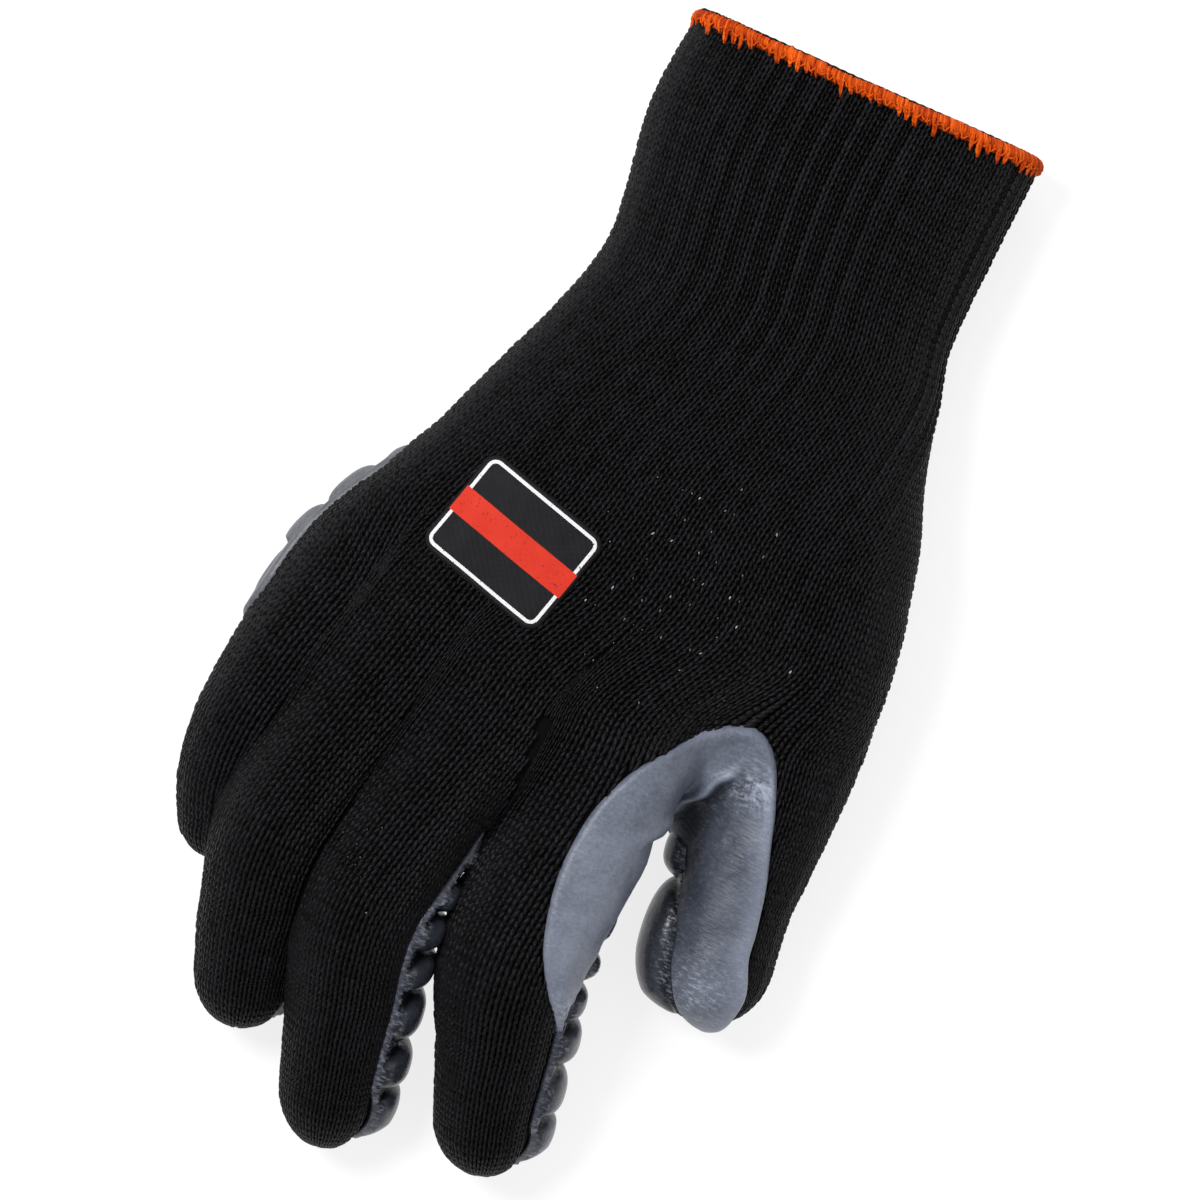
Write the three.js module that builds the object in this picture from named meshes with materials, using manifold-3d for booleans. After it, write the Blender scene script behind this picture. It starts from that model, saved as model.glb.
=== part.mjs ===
// Anti-vibration work glove, right hand, lying palm down in a relaxed curl.
// Millimetres. +Y runs from the cuff to the fingertips, +Z out of the back of the hand, the thumb is on -X.
// The floor is z = 0: the cuff, the pods at the heel of the hand and the fingertip pods rest on it.
// The section tables count Y from the end of the cuff, and the finished glove is then centred over its footprint.
import * as THREE from 'three';
import { mergeVertices } from 'three/addons/utils/BufferGeometryUtils.js';
import Module from 'manifold-3d';

const wasm = await Module();
wasm.setup();

// ---------------------------------------------------------------- driving sizes
const WALL = 1.8;            // knitted cloth
const GAP = 0.32;            // clearance between neighbouring pieces
const SHEET = 1.3;           // rubber sheet
const POD = 4.0;             // air pod height above the sheet
const THUMB_POD = 4.2;
const HEM_LENGTH = 5.0;      // overlocked edge of the cuff
const HEM_PROUD = 0.5;
const LABEL_THICK = 0.8;
const FINGER_SIDES = 14;     // facets round a finger
const PALM_SIDES = 28;       // facets round the palm
const FINGER_STEP = 13;    // spacing of finger sections
const PALM_STEP = 14.5;        // spacing of palm sections
const GLOVE_START = HEM_LENGTH + GAP;
const FINGER_CUT = 164;      // where the tube of each finger starts
const THUMB_CUT = 157;

// ---------------------------------------------------------------- section tables
// one row for each section: centre, half width, half thickness, roll of the back of the finger towards +X
const PALM = [
  { at: 'hem',      x: -0.6, y: 0,   z: 15.4, a: 39.6, b: 15.4, e: 2.5 },
  { at: 'cuff',     x: -0.2, y: 24,  z: 15.2, a: 40.4, b: 15.5, e: 2.5 },
  { at: 'cuff_end', x: -2.0, y: 45,  z: 15.4, a: 38.8, b: 15.6, e: 2.5 },
  { at: 'wrist',    x: -3.4, y: 56,  z: 16.6, a: 39.4, b: 15.6, e: 2.5 },
  { at: 'heel',     x: -3.6, y: 72,  z: 19.4, a: 43.6, b: 15.8, e: 2.4 },
  { at: 'low_palm', x: -2.4, y: 90,  z: 22.0, a: 48.8, b: 16.0, e: 2.4 },
  { at: 'mid_palm', x: 4.2,  y: 110, z: 24.6, a: 48.8, b: 15.8, e: 2.3 },
  { at: 'arch',     x: 13.6, y: 130, z: 27.4, a: 47.2, b: 14.8, e: 2.3 },
  { at: 'knuckle',  x: 19.6, y: 148, z: 29.8, a: 47.0, b: 13.6, e: 2.3 },
  { at: 'web',      x: 21.4, y: 164, z: 30.6, a: 43.0, b: 11.4, e: 2.2 },
  { at: 'web_end',  x: 20.0, y: 178, z: 29.6, a: 29.0, b: 7.0,  e: 2.0 },
];
const FINGERS = {
  index: [
    { at: 'root', x: -8.0,  y: 128,   z: 25.5, a: 12.4, b: 11.6, roll: 8 },
    { at: 'mcp',  x: -11.4, y: 156,   z: 31.0, a: 14.6, b: 13.2, roll: 18 },
    { at: 'pip',  x: -10.6, y: 198,   z: 30.0, a: 14.2, b: 12.8, roll: 36 },
    { at: 'dip',  x: -16.6, y: 221,   z: 22.5, a: 12.8, b: 11.6, roll: 41 },
    { at: 'pad',  x: -21.2, y: 236,   z: 16.6, a: 11.4, b: 10.4, roll: 42 },
    { at: 'tip',  x: -25.8, y: 248.3, z: 11.4, a: 0,    b: 0,    roll: 42 },
  ],
  middle: [
    { at: 'root', x: 13.5, y: 125, z: 26.0, a: 12.4, b: 11.6, roll: 6 },
    { at: 'mcp',  x: 16.4, y: 154, z: 32.2, a: 14.4, b: 13.4, roll: 14 },
    { at: 'pip',  x: 22.2, y: 200, z: 31.2, a: 14.4, b: 13.2, roll: 34 },
    { at: 'dip',  x: 16.8, y: 225, z: 23.0, a: 12.9, b: 11.8, roll: 40 },
    { at: 'pad',  x: 12.0, y: 243, z: 16.4, a: 11.3, b: 10.4, roll: 41 },
    { at: 'tip',  x: 8.4,  y: 256.6, z: 11.0, a: 0,    b: 0,    roll: 41 },
  ],
  ring: [
    { at: 'root', x: 34.5, y: 122,   z: 25.0, a: 12.0, b: 11.4, roll: 6 },
    { at: 'mcp',  x: 38.6, y: 149,   z: 30.6, a: 13.6, b: 12.8, roll: 12 },
    { at: 'pip',  x: 45.4, y: 193,   z: 29.6, a: 13.4, b: 12.6, roll: 28 },
    { at: 'dip',  x: 42.6, y: 215,   z: 22.0, a: 12.3, b: 11.4, roll: 34 },
    { at: 'pad',  x: 39.0, y: 229.5, z: 16.0, a: 10.9, b: 10.0, roll: 36 },
    { at: 'tip',  x: 35.4, y: 240.8, z: 11.0, a: 0,    b: 0,    roll: 36 },
  ],
  pinky: [
    { at: 'root', x: 45.0, y: 118,   z: 24.4, a: 10.8, b: 10.6, roll: 6 },
    { at: 'mcp',  x: 55.6, y: 142,   z: 27.8, a: 12.2, b: 11.6, roll: 10 },
    { at: 'pip',  x: 61.2, y: 174,   z: 26.0, a: 11.7, b: 11.0, roll: 22 },
    { at: 'dip',  x: 60.4, y: 191,   z: 20.6, a: 10.8, b: 10.0, roll: 28 },
    { at: 'pad',  x: 57.4, y: 201,   z: 15.8, a: 9.9,  b: 9.2,  roll: 30 },
    { at: 'tip',  x: 55.0, y: 209.8, z: 10.8, a: 0,    b: 0,    roll: 30 },
  ],
  thumb: [
    { at: 'root', x: -24.0, y: 74,    z: 19.0, a: 13.4, b: 14.0, roll: -30 },
    { at: 'cmc',  x: -38.0, y: 98,    z: 19.8, a: 15.4, b: 17.8, roll: -44 },
    { at: 'mcp',  x: -46.0, y: 131,   z: 18.2, a: 14.6, b: 15.8, roll: -62 },
    { at: 'ip',   x: -49.2, y: 160,   z: 15.8, a: 13.0, b: 13.4, roll: -70 },
    { at: 'pad',  x: -52.2, y: 184,   z: 13.8, a: 12.0, b: 12.2, roll: -72 },
    { at: 'tip',  x: -56.2, y: 199.4, z: 12.6, a: 0,    b: 0,    roll: -72 },
  ],
};
// the fold of cloth between thumb and index finger
const FOLD = [
  { at: 'root', x: -28.0, y: 116, z: 23.0, a: 15.0, b: 12.5, roll: -10 },
  { at: 'mid',  x: -34.0, y: 133, z: 22.0, a: 14.0, b: 10.5, roll: -14 },
  { at: 'edge', x: -35.4, y: 145, z: 20.6, a: 11.0, b: 8.4,  roll: -16 },
  { at: 'end',  x: -35.0, y: 155, z: 20.0, a: 0,    b: 0,    roll: -16 },
];
// air pods along each finger, from the palm end to the fingertip: first and last section in millimetres of travel,
// number of pods, length of the last long pod, half angle of the rubber round the palm side
const PODS = {
  index:  { from: 52, count: 6, last: 14, halfAngle: 78, height: POD },
  middle: { from: 52, count: 7, last: 14, halfAngle: 78, height: POD },
  ring:   { from: 50, count: 6, last: 13, halfAngle: 78, height: POD },
  pinky:  { from: 42, count: 4, last: 12, halfAngle: 78, height: POD },
  thumb:  { from: 72, count: 3, last: 26, halfAngle: 62, height: THUMB_POD },
};
// outline of the smooth panel between thumb and index finger, seen from above
const WEB_OUTLINE = [
  { at: 'index_end',    x: -25.0, y: 209.5 }, { at: 'index_back',  x: -17.2, y: 197.4 },
  { at: 'index_mid',    x: -14.4, y: 184.0 }, { at: 'index_low',   x: -14.6, y: 173.0 },
  { at: 'index_root',   x: -18.4, y: 159.5 }, { at: 'rise',        x: -24.1, y: 146.0 },
  { at: 'arch_left',    x: -29.0, y: 138.0 }, { at: 'arch_top',    x: -36.0, y: 135.0 },
  { at: 'arch_right',   x: -42.5, y: 138.4 }, { at: 'thumb_root',  x: -48.4, y: 149.0 },
  { at: 'thumb_low',    x: -54.0, y: 165.9 }, { at: 'thumb_mid',   x: -57.4, y: 178.0 },
  { at: 'thumb_end',    x: -59.4, y: 190.0 }, { at: 'thumb_tip',   x: -57.0, y: 203.0 },
  { at: 'tip_inside',   x: -47.0, y: 203.0 }, { at: 'groove_end',  x: -43.0, y: 190.8 },
  { at: 'groove_mid',   x: -40.4, y: 179.8 }, { at: 'groove_root', x: -36.6, y: 166.0 },
  { at: 'crotch',       x: -30.6, y: 161.0 }, { at: 'index_side',  x: -30.6, y: 176.0 },
  { at: 'index_palm',   x: -31.6, y: 196.0 }, { at: 'index_point', x: -31.0, y: 206.0 },
];
const WEB_LOW = 12.5;        // lowest level of the panel on the thumb and in the crotch
const PALM_PODS = { rows: 6, columns: 7, firstY: 86, pitchY: 12.4, firstX: -22.5, pitchX: 13.2, halfX: 5.6, halfY: 5.2 };
const EDGE_PODS = [          // pods that show past the little-finger edge of the palm
  { at: 'a', x: 56.6, y: 124.0, z: 22.6 },
  { at: 'b', x: 60.6, y: 136.6, z: 23.2 },
  { at: 'c', x: 63.8, y: 148.0, z: 23.8 },
];
const PALM_OUTLINE = [
  { at: 'heel_thumb', x: -34, y: 80 }, { at: 'heel', x: 44, y: 80 }, { at: 'edge_low', x: 60, y: 102 },
  { at: 'edge_high', x: 74, y: 136 }, { at: 'edge_end', x: 74, y: 150 }, { at: 'ring_root', x: 50, y: 158 },
  { at: 'index_root', x: -24, y: 165 }, { at: 'index_side', x: -29, y: 150 }, { at: 'thumb_side', x: -34, y: 128 },
];
const THENAR_OUTLINE = [
  { at: 'heel_in', x: -30, y: 80 }, { at: 'end_in', x: -30, y: 139 }, { at: 'end_out', x: -48, y: 134 },
  { at: 'side', x: -54, y: 112 }, { at: 'heel_out', x: -48, y: 86 },
];
const LABEL = { x: 26.4, y: 122.6, half: 15.5, halfLong: 12.5, turn: -11, corner: 3 };

// ---------------------------------------------------------------- sections
const rad = THREE.MathUtils.degToRad;
const up = new THREE.Vector3();

function spline(rows, key, t) {            // Catmull-Rom over equal row parameters
  const n = rows.length - 1, i = Math.min(Math.floor(t), n - 1), f = t - i;
  const p = (j) => rows[Math.max(0, Math.min(n, j))][key];
  const [p0, p1, p2, p3] = [p(i - 1), p(i), p(i + 1), p(i + 2)];
  return 0.5 * (2 * p1 + (p2 - p0) * f + (2 * p0 - 5 * p1 + 4 * p2 - p3) * f * f + (3 * p1 - p0 - 3 * p2 + p3) * f ** 3);
}

// sections of a finger: walks the rows, then closes with a round tip
function fingerRings(rows, step = FINGER_STEP) {
  const body = rows.slice(0, -1), tip = rows[rows.length - 1], rings = [];
  let travel = 0;
  for (let i = 0; i < body.length - 1; i++) {
    const length = Math.hypot(body[i + 1].x - body[i].x, body[i + 1].y - body[i].y, body[i + 1].z - body[i].z);
    const n = Math.max(1, Math.round(length / step));
    for (let k = 0; k < n; k++) {
      const t = i + k / n;
      rings.push({ travel: travel + (length * k) / n, ...row(body, t) });
    }
    travel += length;
  }
  const last = body[body.length - 1];
  const reach = Math.hypot(tip.x - last.x, tip.y - last.y, tip.z - last.z);
  for (const f of [0, 0.42, 0.72, 0.93]) {
    rings.push({
      travel: travel + f * reach, dome: f, reach,
      x: last.x + (tip.x - last.x) * f, y: last.y + (tip.y - last.y) * f, z: last.z + (tip.z - last.z) * f,
      a: last.a, b: last.b, e: 2, roll: last.roll,
    });
  }
  rings.forEach((r, i) => {
    const p = rings[Math.max(0, i - 1)], q = rings[Math.min(rings.length - 1, i + 1)];
    const along = new THREE.Vector3(q.x - p.x, q.y - p.y, q.z - p.z).normalize();
    up.set(Math.sin(rad(r.roll)), 0, Math.cos(rad(r.roll)));
    const back = up.clone().addScaledVector(along, -up.dot(along)).normalize();
    r.back = back;
    r.side = new THREE.Vector3().crossVectors(along, back);
    r.along = along;
  });
  rings.sides = FINGER_SIDES;
  return rings;
}
function row(body, t) {
  return { x: spline(body, 'x', t), y: spline(body, 'y', t), z: spline(body, 'z', t), a: spline(body, 'a', t), b: spline(body, 'b', t), e: 2, roll: spline(body, 'roll', t) };
}

// sections of the cuff and palm, all square to Y
function palmRings(startY) {
  const rings = [];
  const end = PALM[PALM.length - 1].y, n = Math.round((end - startY) / PALM_STEP);
  for (let k = 0; k <= n; k++) {
    const y = startY + ((end - startY) * k) / n;
    let i = 0;
    while (i < PALM.length - 2 && PALM[i + 1].y < y) i++;
    const t = i + (y - PALM[i].y) / (PALM[i + 1].y - PALM[i].y);
    rings.push({
      travel: y, y, x: spline(PALM, 'x', t), z: spline(PALM, 'z', t), a: spline(PALM, 'a', t), b: spline(PALM, 'b', t), e: spline(PALM, 'e', t),
      side: new THREE.Vector3(1, 0, 0), back: new THREE.Vector3(0, 0, 1), along: new THREE.Vector3(0, 1, 0),
    });
  }
  rings.sides = PALM_SIDES;
  return rings;
}

// a point of a section: k counts facets from the side axis, off is the distance outside the section
function sectionPoint(r, k, sides, off) {
  const w = (2 * Math.PI * k) / sides, c = Math.cos(w), s = Math.sin(w);
  let a = r.a + off, b = r.b + off, slide = 0;
  if (r.dome !== undefined) {
    const shrink = Math.sqrt(1 - r.dome ** 2);
    a *= shrink; b *= shrink; slide = off * r.dome;
  }
  const px = a * Math.sign(c) * Math.abs(c) ** (2 / r.e), pz = b * Math.sign(s) * Math.abs(s) ** (2 / r.e);
  return new THREE.Vector3(r.x, r.y, r.z).addScaledVector(r.side, px).addScaledVector(r.back, pz).addScaledVector(r.along, slide);
}
function pointAt(rings, travel, k, off) {
  let i = 0;
  while (i < rings.length - 2 && rings[i + 1].travel < travel) i++;
  const f = (travel - rings[i].travel) / (rings[i + 1].travel - rings[i].travel);
  return sectionPoint(rings[i], k, rings.sides, off).lerp(sectionPoint(rings[i + 1], k, rings.sides, off), f);
}

// ---------------------------------------------------------------- solids
function geometry(points, faces) {
  const g = new THREE.BufferGeometry();
  g.setAttribute('position', new THREE.Float32BufferAttribute(points.flatMap((p) => [p.x, p.y, p.z]), 3));
  g.setIndex(faces.flat());
  return g;
}
function solid(g) {
  g = g.clone();
  g.deleteAttribute('normal');
  g.deleteAttribute('uv');
  g = mergeVertices(g, 1e-4);
  return new wasm.Manifold(new wasm.Mesh({ numProp: 3, vertProperties: new Float32Array(g.attributes.position.array), triVerts: new Uint32Array(g.index.array) }));
}
function loft(loops) {                     // closed loops of equal length, capped at both ends
  const m = loops[0].length, points = loops.flat(), faces = [];
  for (let i = 0; i < loops.length - 1; i++) {
    for (let k = 0; k < m; k++) {
      const a = i * m + k, b = i * m + ((k + 1) % m), c = a + m, d = b + m;
      faces.push([a, c, d], [a, d, b]);
    }
  }
  for (const [ring, flip] of [[0, false], [loops.length - 1, true]]) {
    const centre = points.length, p = new THREE.Vector3();
    for (let k = 0; k < m; k++) p.add(loops[ring][k]);
    points.push(p.divideScalar(m));
    for (let k = 0; k < m; k++) {
      const a = ring * m + k, b = ring * m + ((k + 1) % m);
      faces.push(flip ? [centre, b, a] : [centre, a, b]);
    }
  }
  const s = solid(geometry(points, faces));
  return s.volume() < 0 ? solid(geometry(points, faces.map(([a, b, c]) => [a, c, b]))) : s;
}
const ringLoop = (r, sides, off) => Array.from({ length: sides }, (_, k) => sectionPoint(r, k, sides, off));
const tube = (rings, off) => loft(rings.map((r, i) => {       // flat ends move out or in by the same distance
  const end = r.dome !== undefined ? 0 : i === 0 ? -off : i === rings.length - 1 ? off : 0;
  return ringLoop(r, rings.sides, off).map((p) => p.addScaledVector(r.along, end));
}));
function box(x0, x1, y0, y1, z0, z1) {
  const g = new THREE.BoxGeometry(x1 - x0, y1 - y0, z1 - z0);
  g.translate((x0 + x1) / 2, (y0 + y1) / 2, (z0 + z1) / 2);
  return solid(g);
}
function prism(outline, z0, z1, grow = 0) {
  const shape = new THREE.Shape(outline.map((p) => new THREE.Vector2(p.x, p.y)));
  const g = new THREE.ExtrudeGeometry(shape, { depth: z1 - z0, bevelEnabled: grow > 0, bevelThickness: 0.05, bevelSize: grow, bevelSegments: 1 });
  g.translate(0, 0, z0);
  return solid(g);
}
const ABOVE_FLOOR = box(-200, 200, -50, 400, 0, 200);

const fingerSets = Object.fromEntries(Object.entries(FINGERS).map(([name, rows]) => [name, fingerRings(rows)]));
const palmSet = palmRings(GLOVE_START);
const chains = [palmSet, fingerRings(FOLD), ...Object.values(fingerSets)];
const skin = (off) => chains.map((c) => tube(c, off)).reduce((s, t) => s.add(t));

// knitted shell: cuff, palm, four fingers and thumb in one hollow piece, open at the cuff
const outer = skin(0);
const cuffMouth = loft([
  ringLoop({ ...palmSet[0], y: palmSet[0].y - 6 }, PALM_SIDES, -WALL),
  ringLoop(palmSet[0], PALM_SIDES, -WALL),
  ringLoop(palmSet[1], PALM_SIDES, -WALL),
]);
const hollow = skin(-WALL).add(cuffMouth);
const knit = outer.subtract(hollow).intersect(ABOVE_FLOOR);

// overlocked edge: a ring on the end of the cuff
const hemRows = [0, HEM_LENGTH / 2, HEM_LENGTH].map((y) => ({ ...palmSet[0], x: PALM[0].x, z: PALM[0].z, a: PALM[0].a, b: PALM[0].b, y }));
const hemOuter = loft(hemRows.map((r, i) => ringLoop(r, PALM_SIDES, i === 1 ? HEM_PROUD + 0.3 : HEM_PROUD)));
const hemHole = loft([-1, HEM_LENGTH + 1].map((y) => ringLoop({ ...hemRows[0], y }, PALM_SIDES, -WALL - 0.2)));
const hem = hemOuter.subtract(hemHole).intersect(ABOVE_FLOOR);

// rubber with air pods along the palm side of a finger
function fingerPad(name) {
  const rings = fingerSets[name], p = PODS[name];
  const reach = rings[rings.length - 1].travel, end = reach - 0.6;
  const pitch = (end - p.from - p.last) / (p.count - 1);
  const stations = [];
  for (let i = 0; i < p.count; i++) {
    const start = p.from + i * pitch, length = i === p.count - 1 ? p.last : pitch;
    stations.push({ t: start, h: 0.15 }, { t: start + length * 0.3, h: 1 }, { t: start + length * 0.7, h: 1 });
  }
  stations.push({ t: end, h: 0.15 });
  const step = 360 / FINGER_SIDES, down = (270 / 360) * FINGER_SIDES, half = Math.floor((p.halfAngle + 0.5) / step + 0.5) ;
  const ks = [];
  for (let k = -half; k <= half; k++) ks.push(down + k);
  const loops = stations.map(({ t, h }) => {
    const outside = ks.map((k, i) => pointAt(rings, t, k, GAP + SHEET + (i === 0 || i === ks.length - 1 ? 0 : h * p.height)));
    const inside = ks.map((k) => pointAt(rings, t, k, -1.2)).reverse();
    return [...outside, ...inside];
  });
  return loft(loops);
}

const clearance = skin(GAP);
const thick = skin(GAP + SHEET);
const shell = thick.subtract(clearance);

// smooth panel over the crotch
const webPrism = prism(WEB_OUTLINE, WEB_LOW, 60);
const webKeepOut = prism(WEB_OUTLINE, WEB_LOW - GAP, 60, GAP);
const web = shell.intersect(webPrism);

// a wall between two neighbouring fingers, followed down their length: each pad stays on its own side of it
function across(rows, y, key) {
  let i = 0;
  while (i < rows.length - 2 && rows[i + 1].y < y) i++;
  const f = (y - rows[i].y) / (rows[i + 1].y - rows[i].y);
  return rows[i][key] * (1 - f) + rows[i + 1][key] * f;
}
function side(inner, outer, sign) {        // region on one side of that wall
  const line = [];
  for (let y = 120; y <= 260; y += 14) {
    const p = FINGERS[inner], q = FINGERS[outer];
    const yp = Math.min(y, p[4].y), yq = Math.min(y, q[4].y);
    line.push({ x: (across(p, yp, 'x') + across(p, yp, 'a') + across(q, yq, 'x') - across(q, yq, 'a')) / 2 - 1 + sign * GAP * 0.6, y });
  }
  return prism([...line, { x: sign * 150, y: 260 }, { x: sign * 150, y: 120 }], -5, 70);
}
const ORDER = ['index', 'middle', 'ring', 'pinky'];
const pads = {};
for (const name of Object.keys(FINGERS)) {
  let pad = fingerPad(name).subtract(clearance).subtract(webKeepOut).intersect(ABOVE_FLOOR);
  const i = ORDER.indexOf(name);
  if (i > 0) pad = pad.intersect(side(ORDER[i - 1], name, 1));
  if (i >= 0 && i < 3) pad = pad.intersect(side(name, ORDER[i + 1], -1));
  pads[name] = pad;
}

// palm: sheet over the underside, with a grid of pods and three that show past the little-finger edge
function pod(x, y, z, hx, hy, height, tiltY = 0) {
  const rings = [[0.72, 1]].map(([s, f]) => ({ x: 0, y: 0, z: -height * f, a: hx * s, b: hy * s, e: 3.2, side: new THREE.Vector3(1, 0, 0), back: new THREE.Vector3(0, 1, 0), along: new THREE.Vector3(0, 0, -1) }));
  const lift = { ...rings[0], a: hx, b: hy, z: SHEET * 0.5 };
  const lump = loft([lift, ...rings].map((r) => ringLoop(r, 8, 0)));
  return lump.rotate([0, tiltY, 0]).translate([x, y, z]);
}
function palmUnder(x, y) {
  let i = 0;
  while (i < palmSet.length - 2 && palmSet[i + 1].y < y) i++;
  const f = (y - palmSet[i].y) / (palmSet[i + 1].y - palmSet[i].y);
  const mix = (key) => palmSet[i][key] * (1 - f) + palmSet[i + 1][key] * f;
  const d = Math.min(0.995, Math.abs(x - mix('x')) / mix('a'));
  return mix('z') - mix('b') * (1 - d ** mix('e')) ** (1 / mix('e'));
}
let palmPad = thick.intersect(prism(PALM_OUTLINE, -5, 23).add(prism(THENAR_OUTLINE, -5, 10)));
const pods = [];
for (let j = 0; j < PALM_PODS.rows; j++) {
  for (let i = 0; i < PALM_PODS.columns; i++) {
    const y = PALM_PODS.firstY + j * PALM_PODS.pitchY, x = PALM_PODS.firstX + i * PALM_PODS.pitchX + j * 0.9;
    const left = palmUnder(x - 5, y), right = palmUnder(x + 5, y), mid = palmUnder(x, y);
    if (j === PALM_PODS.rows - 1 && x > 50) continue;
    const edge = PALM.reduce((m, r) => (Math.abs(r.y - y) < Math.abs(m.y - y) ? r : m));
    if (x > edge.x + edge.a - 7 || mid > 22) continue;
    const tilt = THREE.MathUtils.radToDeg(Math.atan2(right - left, 10));
    pods.push(pod(x, y, mid - GAP - SHEET, PALM_PODS.halfX, PALM_PODS.halfY, POD, -tilt));
  }
}
// two more columns under the root of the thumb
const rootX = (y) => across(FINGERS.thumb, y, 'x'), rootZ = (y) => across(FINGERS.thumb, y, 'z');
for (let j = 0; j < PALM_PODS.rows - 2; j++) {
  for (const dx of [-1, 1]) {
    const y = PALM_PODS.firstY + 2 + j * PALM_PODS.pitchY, x = rootX(y) + 2 + dx * 6.4, r = 15.6;
    const z = Math.min(rootZ(y) - Math.sqrt(r * r - (x - rootX(y)) ** 2), palmUnder(x, y) || 99);
    pods.push(pod(x, y, z - GAP - SHEET + 0.2, 5.2, 5.2, POD * 0.8, -dx * 24));
  }
}
for (const r of EDGE_PODS) pods.push(pod(r.x, r.y, r.z - 4, 5.4, 5.6, 7.5, -62));
palmPad = pods.reduce((s, p) => s.add(p), palmPad).subtract(clearance);
for (const pad of ['thumb', 'index', 'middle', 'ring', 'pinky']) palmPad = palmPad.subtract(fingerKeepOut(pad));
palmPad = palmPad.subtract(webKeepOut).intersect(ABOVE_FLOOR);
function fingerKeepOut(name) {
  const p = PODS[name], rings = fingerSets[name];
  const kept = rings.filter((r) => r.travel > p.from - 0.1);
  const start = pointRing(rings, p.from - GAP);
  return loft([start, ...kept.map((r) => ringLoop(r, FINGER_SIDES, GAP * 2 + SHEET + p.height + 0.3))]);
}
function pointRing(rings, travel) {
  const off = GAP * 2 + SHEET + POD + 0.5;
  return Array.from({ length: rings.sides }, (_, k) => pointAt(rings, travel, k, off));
}

// label on the back of the hand: a rounded plate that follows the knit
const labelShape = [];
for (const [cx, cy, from] of [[1, 1, 0], [-1, 1, 90], [-1, -1, 180], [1, -1, 270]]) {
  for (const w of [0, 45, 90]) {
    const px = cx * (LABEL.half - LABEL.corner) + LABEL.corner * Math.cos(rad(from + w));
    const py = cy * (LABEL.halfLong - LABEL.corner) + LABEL.corner * Math.sin(rad(from + w));
    const t = rad(LABEL.turn);
    labelShape.push({ x: LABEL.x + px * Math.cos(t) - py * Math.sin(t), y: LABEL.y + px * Math.sin(t) + py * Math.cos(t) });
  }
}
const label = skin(GAP + LABEL_THICK).subtract(clearance).intersect(prism(labelShape, 28, 70));

// the knitted cloth in simple pieces: cuff and palm, then one tube for each finger and the thumb
const thumbRoom = (grow) => box(-200, -33.5 + grow, THUMB_CUT - grow, 206, -5, 100);
const fingerRoom = (grow) => box(-200, 200, FINGER_CUT - grow, 400, -5, 100);
const knitPieces = { knit_palm: knit.subtract(fingerRoom(GAP)).subtract(thumbRoom(GAP)) };
knitPieces.knit_thumb = knit.intersect(thumbRoom(0));
ORDER.forEach((name, i) => {
  let tube = knit.intersect(fingerRoom(0)).subtract(thumbRoom(GAP));
  if (i > 0) tube = tube.intersect(side(ORDER[i - 1], name, 1));
  if (i < 3) tube = tube.intersect(side(name, ORDER[i + 1], -1));
  knitPieces[`knit_${name}`] = tube;
});

// ---------------------------------------------------------------- scene
function largest(s) {                      // drops loose crumbs left by the cuts
  const parts = s.decompose();
  return parts.reduce((m, p) => (p.volume() > m.volume() ? p : m));
}
function mesh(name, s, colour, roughness) {
  const body = largest(s.simplify ? s.simplify(0.06) : s), m = body.getMesh();
  const p = [], stride = m.numProp;
  for (let i = 0; i < m.vertProperties.length; i += stride) p.push(new THREE.Vector3(m.vertProperties[i], m.vertProperties[i + 1], m.vertProperties[i + 2]));
  const faces = [];
  for (let i = 0; i < m.triVerts.length; i += 3) faces.push([m.triVerts[i], m.triVerts[i + 1], m.triVerts[i + 2]]);
  const g = geometry(p, faces);
  g.computeVertexNormals();
  const made = new THREE.Mesh(g, new THREE.MeshStandardMaterial({ color: colour, roughness, metalness: 0, flatShading: true }));
  made.name = name;
  return made;
}
const glove = new THREE.Group();
for (const [name, piece] of Object.entries(knitPieces)) glove.add(mesh(name, piece, 0x121214, 0.95));
glove.add(mesh('cuff_hem', hem, 0xe8500f, 0.85));
glove.add(mesh('palm_pad', palmPad, 0x5d636b, 0.45));
for (const [name, pad] of Object.entries(pads)) glove.add(mesh(`${name}_pad`, pad, 0x5d636b, 0.45));
glove.add(mesh('web_panel', web, 0x666c75, 0.5));
glove.add(mesh('label', label, 0x1a1a1c, 0.6));
// the origin is the middle of the footprint, on the floor
const reach = new THREE.Box3().setFromObject(glove);
glove.position.set(-(reach.min.x + reach.max.x) / 2, -(reach.min.y + reach.max.y) / 2, 0);
glove.updateMatrixWorld(true);
export default glove;
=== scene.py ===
"""Anti-vibration glove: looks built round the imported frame. Shapes are worked out in table millimetres
(origin at the middle of the cuff's end, +Y to the fingertips, +Z out of the back of the hand, thumb on -X),
then moved to the row frame, in metres."""

import math

import bpy
import numpy as np
from mathutils import Matrix, Vector


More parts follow.
